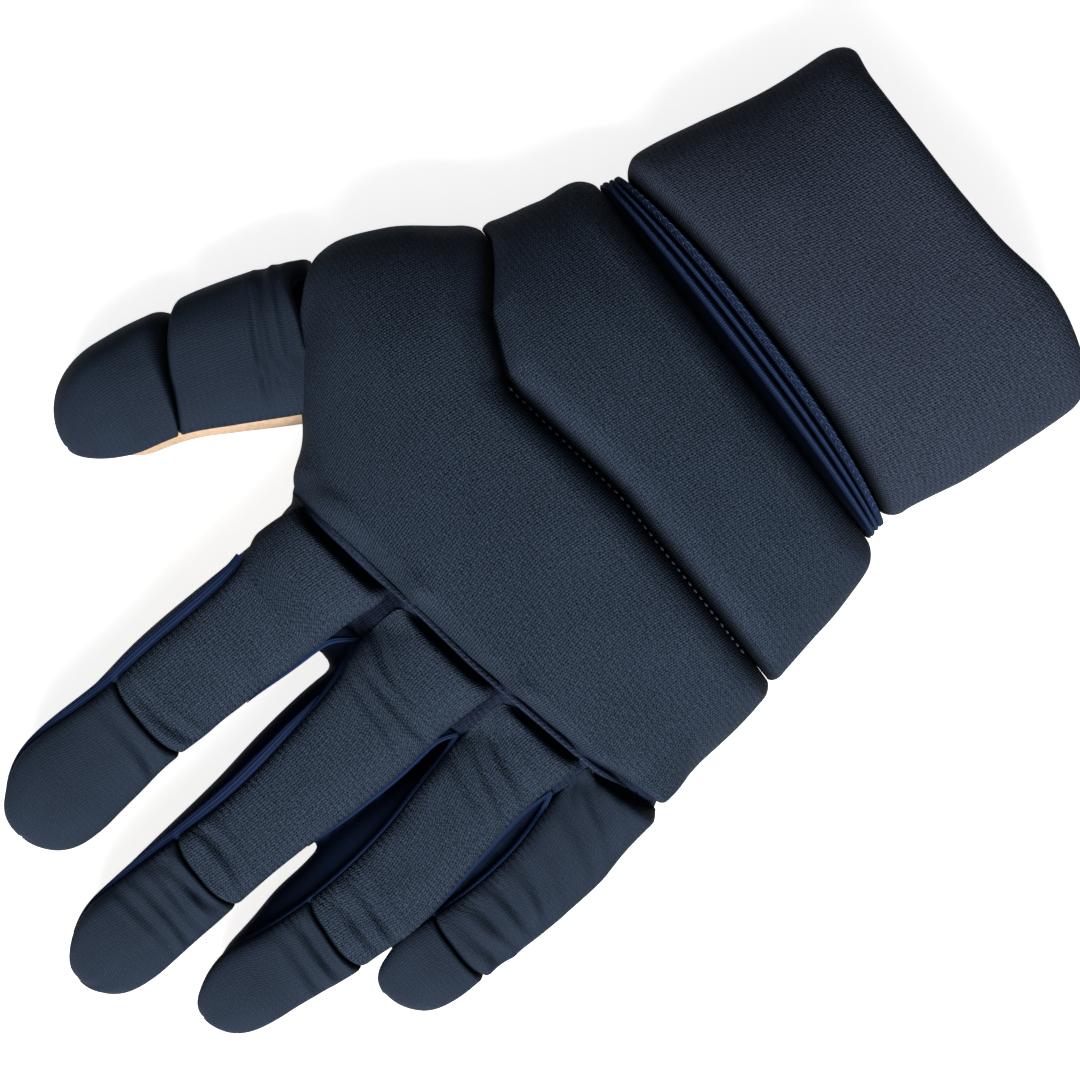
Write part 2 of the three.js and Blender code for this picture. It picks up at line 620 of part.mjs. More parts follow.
const cuffStart = (angle) => bandEnd(angle) - gap;
function cuffPoint(along, angle, inward) {
  const at = (name) => column(CUFF, "along", name, along);
  const crest = at("crest") * cuffWidth;
  const side = (angle >= 0 ? at("radial") : at("ulnar")) * cuffWidth - crest;
  const [across, up] = outline(angle, handPower);
  const level = at("level") * cuffHeight;
  const rise = at("top") * cuffHeight - level - inward;
  const fall = level * (1 + flatShare) - inward;
  return new THREE.Vector3(
    crest + across * (Math.abs(side) - inward),
    0,
    Math.max(level + up * (up > 0 ? rise : fall), inward),
  );
}
function cuffSolid() {
  const along = shares(cuffLength, cuffRound, 2);
  return ringSolid(28, (turned) => {
    const angle = turned > 180 ? turned - 360 : turned;
    const start = cuffStart(angle);
    const end = wristEnd - column(RIM, "angle", "along", angle) * cuffLength;
    const wallAt = (v) => {
      const near = rounded(v * cuffLength, cuffRound * 0.7);
      const far = rounded((1 - v) * cuffLength, cuffRound);
      return (Math.max(near * far, cuffLip) * cuffWall) / 2;
    };
    const point = (v, sign) => {
      const y = THREE.MathUtils.lerp(start, end, v);
      const place = cuffPoint((wristEnd - y) / cuffLength, angle, cuffWall / 2 - sign * wallAt(v));
      place.y = y;
      return place;
    };
    return [...along.map((v) => point(v, 1)), ...[...along].reverse().map((v) => point(v, -1))];
  });
}

const group = new THREE.Group();
function add(name, solid, material) {
  const made = new THREE.Mesh(geometryOf(cleaned(solid)), material);
  made.geometry.computeVertexNormals();
  made.name = name;
  group.add(made);
}

// Lining of the hand and fingers, outside and inside.
const outside = { stations: HAND_STATIONS, facets: HAND_FACETS };
const inside = { stations: HAND_INSIDE, facets: 12, cloth: skin, past: skin * 4 };
const fingerOutside = { steps: 5, facets: 10, first: 18, tip: [0.45, 0.82, 1] };
const fingerInside = { steps: 4, facets: 8, tip: [0.6, 1], cloth: skin };
const handForm = (hand, fingers) => [
  handTube(hand),
  ...FINGERS.map((finger) => fingerTube(finger, fingers)),
];
const webs = (grow) => WEBS.map((place) => web(place, grow));
const outer = joined([...handForm(outside, fingerOutside), ...webs(0)]);
const clear = joined([
  ...handForm({ ...outside, pad: gap, past: gap * 4 }, { ...fingerOutside, pad: gap }),
  ...webs(gap),
]);
const thumbOuter = fingerTube(THUMB, fingerOutside);
const thumbClear = fingerTube(THUMB, { ...fingerOutside, pad: gap });
const hollow = joined([...handForm(inside, fingerInside), fingerTube(THUMB, fingerInside)]);

// Palm leather, the cloth back and the side panels are one shell, cut along its seams.
const shell = outer.subtract(hollow);
const leather = slab(-1, leatherHeight);
const overLeather = slab(leatherHeight + leatherSlit, FAR);
add("palm", largest(shell.intersect(leather)), LEATHER);

const upper = shell.intersect(overLeather);
const underPads = (grow) => joined([
  backOfHand(grow),
  ...FINGERS.flatMap((finger) => [underPad(finger, grow), tipFront(finger, grow)]),
]);
add("back_panel", largest(upper.intersect(underPads(0))), NAVY);
const sideNames = [
  "little_side", "ring_little_side", "middle_ring_side", "index_middle_side", "index_side",
];
const sides = upper.subtract(underPads(gap)).decompose()
  .sort((a, b) => b.volume() - a.volume())
  .slice(0, sideNames.length)
  .sort((a, b) => a.boundingBox().min[0] - b.boundingBox().min[0]);
sides.forEach((solid, i) => add(sideNames[i], solid, BLUE));

const thumbShell = thumbOuter.subtract(clear).subtract(hollow);
add("thumb_palm", largest(thumbShell.intersect(thumbPalmSide(0))), LEATHER);
add("thumb_back", largest(thumbShell.subtract(thumbPalmSide(gap))), NAVY);

// Foam pads on the back.
const bodyClear = joined([clear, thumbClear]);
const knuckleForm = {
  near: (angle) => seamAt(WRIST_SEAM, angle) + gap / 2,
  far: (angle) => seamAt(KNUCKLE_SEAM, angle),
  length: 0.5 * palmLength,
};
const wristForm = {
  near: () => padEnd * palmLength,
  far: (angle) => seamAt(WRIST_SEAM, angle) - gap / 2,
  length: 0.4 * palmLength,
};
const knuckleClear = backPadSolid({ ...knuckleForm, grow: gap });
add("knuckle_pad", largest(backPadSolid(knuckleForm).subtract(bodyClear)), NAVY);
add("wrist_pad", largest(backPadSolid(wristForm).subtract(bodyClear)), NAVY);

const [, , ringFinger, littleFinger] = FINGERS;
const ringPads = joined([longPad(ringFinger, gap), tipPad(ringFinger, gap)]);
FINGERS.forEach((finger) => {
  const taken = finger === littleFinger ? [bodyClear, knuckleClear, ringPads] : [bodyClear, knuckleClear];
  const fit = (solid) => largest(solid.subtract(joined(taken)));
  add(finger.name + "_pad", fit(longPad(finger)), NAVY);
  add(finger.name + "_tip_pad", fit(tipPad(finger)), NAVY);
});

const thumbEdges = () => [angleAt(THUMB.at[0].ulnar), thumbWrap];
const thumbJoint = (u) => THUMB.joint - 0.03 * u;
const thumbSlit = (0.5 * gap) / THUMB.length;
const thumbTaken = joined([bodyClear, knuckleClear]);
add("thumb_pad", largest(fingerPadSolid(THUMB, {
  from: () => thumbPadStart,
  to: (u) => thumbJoint(u) - thumbSlit,
  edges: thumbEdges,
  length: THUMB.joint * THUMB.length,
}).subtract(thumbTaken)), NAVY);
add("thumb_tip_pad", largest(fingerPadSolid(THUMB, {
  from: (u) => thumbJoint(u) + thumbSlit,
  to: () => 1,
  edges: thumbEdges,
  length: (1 - THUMB.joint) * THUMB.length,
}).subtract(thumbTaken)), NAVY);

add("wrist_band", bandSolid(), BLUE);
add("cuff", cuffSolid(), NAVY);

export default group;
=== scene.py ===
"""Looks of the padded glove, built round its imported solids. Forms are worked out in millimetres."""
import math
from types import SimpleNamespace

import bmesh
import bpy
import numpy as np
from mathutils import Matrix, Vector
from mathutils.bvhtree import BVHTree


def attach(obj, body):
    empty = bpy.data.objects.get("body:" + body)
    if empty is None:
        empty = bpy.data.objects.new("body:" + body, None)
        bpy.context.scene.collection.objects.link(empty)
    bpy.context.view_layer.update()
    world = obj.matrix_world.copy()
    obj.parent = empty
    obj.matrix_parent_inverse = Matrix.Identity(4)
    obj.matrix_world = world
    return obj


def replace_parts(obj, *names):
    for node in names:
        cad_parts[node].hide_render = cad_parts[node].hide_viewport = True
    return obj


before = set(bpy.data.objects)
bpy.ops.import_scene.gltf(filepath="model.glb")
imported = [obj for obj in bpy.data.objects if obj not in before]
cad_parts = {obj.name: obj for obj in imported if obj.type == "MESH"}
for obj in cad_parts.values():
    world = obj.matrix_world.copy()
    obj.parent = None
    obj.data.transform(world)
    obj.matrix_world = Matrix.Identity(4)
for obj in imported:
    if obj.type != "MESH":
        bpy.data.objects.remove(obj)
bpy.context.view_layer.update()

# Sizes and section tables: the solids' own, a few of them drawn a little nearer to the photograph
PALM_LENGTH = 100.0
HAND_WIDTH = 112.0
HAND_HEIGHT = 40.0
BACK_PAD = 9.0
SIDE_PAD = 6.0
PAD_EDGE = 0.9
PAD_ROUND = 5.5
FINGER_PAD = 4.2
FINGER_ROUND = 5.0
LEATHER_HEIGHT = 6.4
SIDE_WRAP = 101.0
THUMB_WRAP = 104.0
ROOT_LENGTH = 22.0
ROOT_SHARE = 0.6
HEIGHT_FALL = 1.5
TIP_REACH = 0.45
NOSE_SHARE = 0.06
TIP_GROWTH = 1.4
FINGER_ARCH = 3.0
FINGER_LEVEL = 0.44
FLAT_SHARE = 0.16
ARCH_END = 1.12
LEAST_RADIUS = 0.1
SPINE_STEPS = 40
# millimetres: how far a pad's inner side lies under the skin, and half the gap between two pads at a seam
PAD_SUNK = 0.7
HALF_GAP = 0.15
# the skin's voxels, its thickness in leather and in cloth, and how deep it is pressed at a pad's foot
VOXEL = 1.05
LEATHER_THICK = 1.4
CLOTH_THICK = 1.1
SLOT_DEPTH = 8
# how far the side panels reach under the pads' edges, as a share of the finger's half width
SIDE_LAP = 0.06
# share of a finger's half width that its pads cover, and the angle at which they end at most
PAD_SHARE = 0.955
PAD_WRAP = 94
# how much wider the side panels on the thumb's side show beside these fingers' pads
SHOWN = {"index": 0.15, "middle": 0.13}
# how much wider each pad's root is on the thumb's side, where it covers the cloth between two fingers
BRIDGED = {"index": 0, "middle": 0.09, "ring": 0.09, "little": 0.08}
WEB_LIFT = 0.62
PAD_END = -51.5
BAND_START = -51.8
BAND_WIDTH = 6.2
BAND_BOW = 4.3
BAND_RIDGES = ((0.22, 0.43), (0.47, 0.64), (0.68, 0.98))
FLOOR_GAP = 0.2
WRIST_END = -59.0
SHELL_END = -57.2
CUFF_LENGTH = 59.0
CUFF_WIDTH = 106.0
CUFF_HEIGHT = 48.0
CUFF_WALL = 8.0
CUFF_ROUND = 9.0
HAND_POWER = 2 / 2.4
FINGER_POWER = 2 / 2.7
PALM_POWER = 2 / 3.2


def table(names, *rows):
    """A table as one array for each named column."""
    return {n: np.array(c, float) for n, c in zip(names.split(), zip(*rows))}


HAND = table(
    "along ulnar radial crest top level bottom",
    (-0.59, -0.444, 0.424, 0, 0.77, 0.38, 0.095),
    (-0.54, -0.448, 0.43, 0, 0.79, 0.38, 0.09),
    (-0.47, -0.486, 0.464, 0, 0.85, 0.39, 0.05),
    (-0.38, -0.51, 0.471, 0, 0.9, 0.4, 0),
    (-0.22, -0.54, 0.518, 0.018, 0.95, 0.42, 0),
    (-0.05, -0.574, 0.622, 0.018, 0.985, 0.42, 0),
    (0.12, -0.594, 0.662, 0.027, 1, 0.42, 0),
    (0.28, -0.617, 0.545, 0, 1, 0.42, 0),
    (0.4, -0.58, 0.405, -0.027, 0.96, 0.4, 0),
    (0.5, -0.464, 0.33, -0.045, 0.85, 0.38, 0.03),
    (0.58, -0.32, 0.2, -0.054, 0.62, 0.36, 0.12),
)
WRIST_SEAM = table(
    "across along",
    (-0.6, -0.12), (-0.09, -0.11), (0.23, -0.057), (0.27, -0.06), (0.41, -0.122), (0.54, -0.23),
)
KNUCKLE_SEAM = table(
    "across along",
    (-0.66, 0.27), (-0.52, 0.33), (-0.18, 0.41), (0.18, 0.47), (0.36, 0.505),
)
CROTCH = table(
    "across along",
    (-0.75, 0.2), (-0.66, 0.31), (-0.5, 0.46), (-0.281, 0.555), (0.004, 0.59), (0.29, 0.69), (0.5, 0.69),
)
WEBS = table(
    "across along long wide high",
    (0.025, 0.57, 0.13, 0.062, 0.5), (-0.281, 0.66, 0.18, 0.042, 0.36), (-0.515, 0.52, 0.14, 0.045, 0.36),
)
CUFF = table(
    "along ulnar radial crest top level",
    (0, -0.515, 0.497, 0, 0.77, 0.4),
    (0.1, -0.517, 0.503, 0, 0.87, 0.42),
    (0.35, -0.543, 0.477, -0.03, 0.95, 0.44),
    (0.6, -0.556, 0.446, -0.06, 0.98, 0.45),
    (0.85, -0.563, 0.43, -0.07, 1, 0.46),
    (1.05, -0.56, 0.424, -0.075, 1, 0.46),
)
RIM = table(
    "angle along",
    (-180, 1), (-90, 0.955), (-60, 1.005), (-28, 1.055), (-6, 1.022),
    (30, 1.02), (62, 1.03), (90, 1.035), (180, 1),
)


def finger(name, sizes, at, folds, slot):
    """A finger's sizes. at is its section table, slot the start and width of the dark slot at its foot.

    Each fold has its share along the finger, depth and half width, and its slant to the thumb's side."""
    keys = "length width knuckle tip across along root heading turn late joint".split()
    rows = table("share width ulnar radial", *at)
    made = SimpleNamespace(**dict(zip(keys, sizes)), name=name, at=rows, folds=folds, slot=slot, surface=[])
    made.line = spine(made)
    return made


def heading(degrees):
    return math.sin(math.radians(degrees)), math.cos(math.radians(degrees))


def spine(f):
    """A finger's centre line in plan: share, place and direction at each step."""
    x, y = f.across * HAND_WIDTH, f.along * PALM_LENGTH
    dx, dy = heading(f.root)
    rows = [(-ROOT_LENGTH / f.length, x - dx * ROOT_LENGTH, y - dy * ROOT_LENGTH, dx, dy)]
    for i in range(SPINE_STEPS + 1):
        share = i / SPINE_STEPS
        dx, dy = heading(f.heading + f.turn * share ** f.late)
        rows.append((share, x, y, dx, dy))
        x += dx * f.length / SPINE_STEPS
        y += dy * f.length / SPINE_STEPS
    return table("share x y dx dy", *rows)


FINGERS = [
    finger("index", (99.8, 28, 36.5, 19, 0.174, 0.5, 7, 3.5, -13.5, 1, 0.62), (
        (0, 1.06, -0.97, 1), (0.14, 1.06, -0.95, 1), (0.22, 1.03, -0.94, 0.88),
        (0.32, 1.01, -0.94, 0.79), (0.53, 0.99, -0.94, 0.78), (0.67, 0.92, -0.95, 0.82),
        (0.83, 0.92, -0.96, 0.9), (1, 0.9, -0.97, 0.94),
    ), ((0.585, 0.5, 1.5, -1), (0.69, 0.35, 1.6, 2), (0.3, 0.22, 3, 3)), (2.6, 2.5)),
    finger("middle", (116.5, 27, 37.5, 19, -0.13, 0.43, 0, -1.5, -5, 1, 0.688), (
        (0, 1.05, -0.97, 0.97), (0.16, 1.07, -0.94, 0.93), (0.28, 1.12, -0.91, 0.76),
        (0.42, 1.06, -0.91, 0.64), (0.56, 0.94, -0.94, 0.64), (0.75, 0.89, -0.95, 0.77),
        (1, 0.83, -0.96, 0.9),
    ), ((0.645, 0.55, 1.4, 1), (0.73, 0.5, 1.4, -1), (0.772, 0.45, 1.4, 1), (0.808, 0.36, 1.4, 0),
        (0.85, 0.2, 1.3, 1), (0.13, 0.35, 1.3, 3), (0.17, 0.35, 1.2, -2), (0.215, 0.25, 1.3, 3),
    ), (1.2, 2.4)),
    finger("ring", (103, 27, 35, 18.5, -0.397, 0.38, -10, -3.5, 2, 1, 0.675), (
        (0, 0.9, -0.84, 0.95), (0.2, 0.97, -0.76, 0.84), (0.4, 1.1, -0.85, 0.52),
        (0.52, 1.13, -0.93, 0.42), (0.64, 1.01, -0.96, 0.43), (0.73, 0.97, -0.96, 0.47),
        (0.82, 0.84, -0.96, 0.62), (0.92, 0.74, -0.96, 0.84), (1, 0.7, -0.96, 0.9),
    ), ((0.57, 0.5, 1.7, 2), (0.62, 0.45, 1.5, -1), (0.73, 0.5, 1.5, 1), (0.78, 0.35, 1.5, 0),
        (0.1, 0.4, 1.6, 4), (0.16, 0.35, 1.5, 4), (0.22, 0.25, 1.6, 4)), (1.2, 2.4)),
    finger("little", (71.5, 24, 30.5, 18, -0.592, 0.31, -26, -3.5, 0, 1, 0.77), (
        (0, 0.82, -1, 0.9), (0.2, 0.9, -1, 0.78), (0.4, 0.98, -1, 0.5), (0.6, 0.97, -1, 0.45),
        (0.76, 0.9, -1, 0.56), (1, 0.86, -1, 0.8),
    ), ((0.46, 0.35, 2, 3), (0.55, 0.5, 2, 2), (0.63, 0.6, 1.9, -1), (0.7, 0.6, 1.8, 1),
        (0.12, 0.5, 2.2, 6), (0.22, 0.35, 2.4, 5)), (0.9, 2.2)),
]
THUMB = finger("thumb", (92, 29, 33, 19, 0.434, -0.02, 27, 28, -30, 3, 0.676), (
    (0, 1, -0.86, 1), (0.3, 1.2, -0.86, 1), (0.45, 1.19, -0.87, 1), (0.6, 1.09, -0.88, 1),
    (0.75, 0.95, -0.88, 1), (1, 0.86, -0.88, 1),
), ((0.405, 0.3, 1.3, 1), (0.44, 0.5, 1.1, 0), (0.472, 0.4, 1.0, 1)), (0, 0))
INDEX, MIDDLE, RING, LITTLE = FINGERS


def column(rows, key, name, at):
    """A table's column at places between its rows, along a smooth curve through them."""
    keys, values = rows[key], rows[name]
    last = len(keys) - 1
    at = np.clip(at, keys[0], keys[-1])
    i = np.clip(np.searchsorted(keys, at, side="left") - 1, 0, last - 1)
    before = np.maximum(np.arange(last + 1) - 1, 0)
    after = np.minimum(np.arange(last + 1) + 1, last)
    slope = (values[after] - values[before]) / (keys[after] - keys[before])
    span = keys[i + 1] - keys[i]
    t = (at - keys[i]) / span
    rise = t * t * (3 - 2 * t)
    bend = span * t * (1 - t) * ((1 - t) * slope[i] - t * slope[i + 1])
    return values[i] * (1 - rise) + values[i + 1] * rise + bend


def section(rows, along, angle, width, height):
    """A section's crest, half width on the angle's side, level and top, in millimetres."""
    ulnar, radial, crest, level, top = (
        column(rows, "along", name, along) for name in ("ulnar", "radial", "crest", "level", "top"))
    half = np.abs(np.where(angle >= 0, radial, ulnar) * width - crest * width)
    return crest * width, half, level * height, top * height


def seam_y(seam, x):
    """Where a seam lies along the hand, at places across it."""
    return np.interp(x / HAND_WIDTH, seam["across"], seam["along"]) * PALM_LENGTH


def on_line(f, share):
    """Places on a finger's centre line, and its direction there."""
    return (np.interp(share, f.line["share"], f.line[n]) for n in ("x", "y", "dx", "dy"))


def same_shape(*values):
    return np.broadcast_arrays(*(np.asarray(v, float) for v in values))


def power(value, exponent):
    return np.sign(value) * np.abs(value) ** exponent


def rounded(distance, radius):
    t = 1 - np.clip(distance / radius, 0, 1)
    return np.sqrt(np.maximum(0, 1 - t * t))


def smooth(value, low, high):
    t = np.clip((value - low) / (high - low), 0, 1)
    return t * t * (3 - 2 * t)


def outline(angle, back_power):
    s, c = np.sin(np.radians(angle)), np.cos(np.radians(angle))
    bulge = np.where(c > 0, back_power, PALM_POWER)
    return power(s, bulge), power(c, bulge)


def hand_point(y, angle, pad=0.0):
    """A point on the hand's skin, lifted outwards by pad."""
    y, angle, pad = same_shape(y, angle, pad)
    crest, half, level, top = section(HAND, y / PALM_LENGTH, angle, HAND_WIDTH, HAND_HEIGHT)
    bottom = np.maximum(column(HAND, "along", "bottom", y / PALM_LENGTH), 0) * HAND_HEIGHT
    across, up = outline(angle, HAND_POWER)
    rise = top - level + pad
    fall = (level - bottom) * (1 + FLAT_SHARE) + np.minimum(pad, 0)
    z = level + up * np.where(up > 0, rise, fall)
    return np.stack([crest + across * (half + pad), y, np.maximum(z, bottom)], -1)


def tip_start(f):
    return 1 - TIP_REACH * f.width / f.length


def half_width(f, share):
    return column(f.at, "share", "width", np.clip(share, 0, 1)) * f.width / 2


def finger_point(f, share, angle, pad=0.0):
    """A point on a finger's skin, lifted outwards by pad."""
    share, angle, pad = same_shape(share, angle, pad)
    x, y, dx, dy = on_line(f, share)
    inside = np.clip(share, 0, 1)
    tip = np.clip((share - tip_start(f)) / (1 - tip_start(f)), 0, 1)
    keep = np.maximum(np.sqrt(1 - tip * tip), NOSE_SHARE)
    before = np.clip(-share * f.length / ROOT_LENGTH, 0, 1)
    half = half_width(f, inside) * (1 + (ROOT_SHARE - 1) * before)
    top = f.tip + (f.knuckle - f.tip) * (1 - inside) ** HEIGHT_FALL
    arch = FINGER_ARCH * np.sin(np.pi * np.minimum(1, inside * ARCH_END)) ** 2
    level = arch + (top - arch) * FINGER_LEVEL
    across, up = outline(angle, FINGER_POWER)
    wide = np.maximum((half + pad) * keep, LEAST_RADIUS)
    rise = (top - level + pad) * keep
    fall = ((level - arch) * (1 + FLAT_SHARE) + np.minimum(pad, 0)) * keep
    z = level + up * np.maximum(np.where(up > 0, rise, fall), LEAST_RADIUS)
    ahead = pad * tip * TIP_GROWTH
    return np.stack([
        x + dy * across * wide + dx * ahead,
        y - dx * across * wide + dy * ahead,
        np.maximum(z, arch),
    ], -1)


def angle_at(share):
    return np.degrees(np.arcsin(power(np.clip(share, -1, 1), 1 / FINGER_POWER)))


def pad_edges(f, share):
    """The angles at which a finger's pads end on its two sides."""
    at = f.at
    inside = np.clip(share, 0, 1)
    root = smooth(share, 0.3, 0.04)
    drawn = PAD_SHARE - 0.04 * root
    shown = SHOWN.get(f.name, 0) * smooth(share, 0.14, 0.24) * smooth(share, 0.95, 0.6)
    reach = drawn - shown + BRIDGED[f.name] * root
    low = angle_at(column(at, "share", "ulnar", inside) * drawn)
    high = angle_at(column(at, "share", "radial", inside) * reach)
    low = low * (1 + 0.8 * smooth(share, tip_start(f), 1.05) ** 1.5)
    high = high * (1 + 0.9 * smooth(share, tip_start(f) + 0.075, 1.05) ** 1.5)
    return np.maximum(low, -PAD_WRAP), np.minimum(high, PAD_WRAP)


def seam_at(seam, angle, guess):
    """Where a seam crosses each angle round the hand."""
    y = np.full(np.shape(angle), guess, float)
    for _ in range(12):
        y = seam_y(seam, hand_point(y, angle, SIDE_PAD)[..., 0])
    return y


def waves(x, y, size, seed):
    """Soft seeded unevenness of a surface, between about -1 and 1."""
    rng = np.random.default_rng(seed)
    total = 0
    for _ in range(7):
        way, shift = rng.uniform(0, 2 * np.pi, 2)
        period = size * rng.uniform(0.7, 1.6)
        total = total + np.sin((x * np.cos(way) + y * np.sin(way)) * 2 * np.pi / period + shift)
    return total / 3.5


# Making meshes

def add_object(name, data):
    made = bpy.data.objects.new(name, data)
    bpy.context.scene.collection.objects.link(made)
    return made


def build(name, points, faces, uvs, material, slot):
    """A mesh object from points in millimetres. uvs gives a place in millimetres for each point."""
    mesh = bpy.data.meshes.new(name)
    mesh.from_pydata((np.asarray(points, float) / 1000).tolist(), [], [tuple(f) for f in faces])
    mesh.polygons.foreach_set("use_smooth", [True] * len(mesh.polygons))
    if uvs is not None:
        set_uvs(mesh, uvs)
    mesh.materials.append(material)
    made = add_object(name + "_cover" if name in bpy.data.objects else name, mesh)
    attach(made, "root")
    return made


def applied(holder):
    """A new mesh with an object's modifiers applied."""
    return bpy.data.meshes.new_from_object(holder.evaluated_get(bpy.context.evaluated_depsgraph_get()))


def face_outwards(mesh):
    bm = bmesh.new()
    bm.from_mesh(mesh)
    bmesh.ops.recalc_face_normals(bm, faces=bm.faces)
    bm.to_mesh(mesh)
    bm.free()


def set_uvs(mesh, uvs):
    layer = mesh.uv_layers.new(name="UVMap")
    corners = np.zeros(len(mesh.loops), int)
    mesh.loops.foreach_get("vertex_index", corners)
    layer.data.foreach_set("uv", np.asarray(uvs, np.float32)[corners].ravel())


def grid_faces(rows, columns, start=0, flip=False, wrap_rows=False, wrap_columns=False):
    down = np.arange(rows if wrap_rows else rows - 1)
    across = np.arange(columns if wrap_columns else columns - 1)
    i, j = np.meshgrid(down, across, indexing="ij")
    below, beside = (i + 1) % rows, (j + 1) % columns
    a, b = i * columns + j, i * columns + beside
    c, d = below * columns + beside, below * columns + j
    quads = np.stack([a, d, c, b] if flip else [a, b, c, d], -1).reshape(-1, 4)
    return quads + start


def run(path):
    """How far along a path each of its points lies."""
    return np.concatenate([[0], np.cumsum(np.linalg.norm(np.diff(path, axis=0), axis=1))])


def arc(points, axis):
    """Lengths along one axis of a grid of points, from its middle line."""
    step = np.linalg.norm(np.diff(points, axis=axis), axis=-1)
    total = np.cumsum(step, axis=axis)
    zero = np.zeros_like(np.take(total, [0], axis=axis))
    total = np.concatenate([zero, total], axis=axis)
    return total - np.take(total, [total.shape[axis] // 2], axis=axis)


def drawn_out(points, along):
    """A lengthwise coordinate that also counts the steep ends, so that the knit isn't stretched there."""
    extra = arc(points, 1) - (along - along[:, :1])
    return along + extra - extra[:, [extra.shape[1] // 2]]


def mark(made, name, values):
    """Gives each point of a mesh a number from 0 to 1 for its material, such as how near an edge it is."""
    layer = made.data.attributes.new(name, "FLOAT", "POINT")
    full = np.zeros(len(made.data.vertices), np.float32)
    full[:values.size] = np.ravel(values)
    layer.data.foreach_set("value", full)


def pad_piece(name, outside, inside, along, material):
    """A padded piece: an outer grid, an inner grid of the same counts, and the strip that joins them."""
    n, m = outside.shape[:2]
    points = np.concatenate([outside.reshape(-1, 3), inside.reshape(-1, 3)])
    count = n * m
    edge = np.concatenate([
        np.arange(m), (np.arange(1, n) * m) + m - 1, (n - 1) * m + np.arange(m - 2, -1, -1),
        np.arange(n - 2, 0, -1) * m,
    ])
    following = np.roll(edge, -1)
    strip = np.stack([edge, following, following + count, edge + count], -1)
    faces = np.concatenate([
        grid_faces(n, m), grid_faces(n, m, start=count, flip=True), strip[:, ::-1],
    ])
    uv = np.stack([arc(outside, 0), drawn_out(outside, along)], -1).reshape(-1, 2)
    made = build(name, points, faces, np.concatenate([uv, uv]), material, "navy_knit")
    face_outwards(made.data)
    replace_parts(made, name)
    return made


def ring_piece(name, profile, count, material, slot):
    """A closed ring. profile(angle) gives a section's loop of points, and how much painted shade darkens
    each point's colour.
    """
    loops, painted_shade = profile(np.linspace(-180, 180, count, endpoint=False))
    n, m = loops.shape[:2]
    faces = grid_faces(n, m, wrap_rows=True, wrap_columns=True)
    line = loops[:, m // 4]
    around = run(np.concatenate([line, line[:1]]))
    along = arc(np.concatenate([loops, loops[:, :1]], 1), 1)
    along = np.concatenate([along, along[:1]])
    uv = np.stack([np.broadcast_to(around[:, None], along.shape), along], -1)
    corner_uv = np.stack([uv[:-1, :-1], uv[:-1, 1:], uv[1:, 1:], uv[1:, :-1]], 2)
    made = build(name, loops.reshape(-1, 3), faces, None, material, slot)
    made.data.uv_layers.new(name="UVMap").data.foreach_set("uv", corner_uv.astype(np.float32).ravel())
    mark(made, "painted_seam_shade", painted_shade)
    face_outwards(made.data)
    return made


def closed_loft(loops, way=1):
    """Points and faces of a tube through loops of points. Its end faces run the other way with way -1."""
    n, m = loops.shape[:2]
    first, last = range(m)[::-way], range((n - 1) * m, n * m)[::way]
    return loops.reshape(-1, 3), [*grid_faces(n, m, wrap_columns=True), tuple(first), tuple(last)]


def tube(path, radius, sides, flat=1.0):
    """Points and faces of a round or flattened cord along a path, closed at both ends."""
    path = np.asarray(path, float)
    way = np.gradient(path, axis=0)
    way /= np.linalg.norm(way, axis=1)[:, None] + 1e-9
    up = np.array([0, 0, 1.0]) - way * way[:, 2:3]
    up /= np.linalg.norm(up, axis=1)[:, None] + 1e-9
    side = np.cross(way, up)
    radius = np.broadcast_to(np.asarray(radius, float), len(path))
    turn = np.linspace(0, 2 * np.pi, sides, endpoint=False)
    ring = side[:, None] * np.cos(turn)[None, :, None] + up[:, None] * np.sin(turn)[None, :, None] * flat
    points, faces = closed_loft(path[:, None] + ring * radius[:, None, None], -1)
    round_it = np.tile(np.arange(sides), len(path)) * 2 * np.pi * radius.mean() / sides
    return points, faces, np.stack([round_it, np.repeat(run(path), sides)], -1)


def resample(path, step):
    path = np.asarray(path, float)
    length = run(path)
    count = max(3, int(round(length[-1] / step)) + 1)
    at = np.linspace(0, length[-1], count)
    return np.stack([np.interp(at, length, path[:, k]) for k in range(path.shape[1])], -1)


def soften(path, rounds=3):
    path = np.array(path, float)
    for _ in range(rounds):
        path[1:-1] = path[1:-1] / 2 + (path[:-2] + path[2:]) / 4
    return path


def merge_parts(parts):
    points, faces, uvs, start = [], [], [], 0
    for p, f, u in parts:
        points.append(p)
        uvs.append(u)
        faces.extend(tuple(int(i) + start for i in face) for face in f)
        start += len(p)
    return np.concatenate(points), faces, np.concatenate(uvs)


# Materials

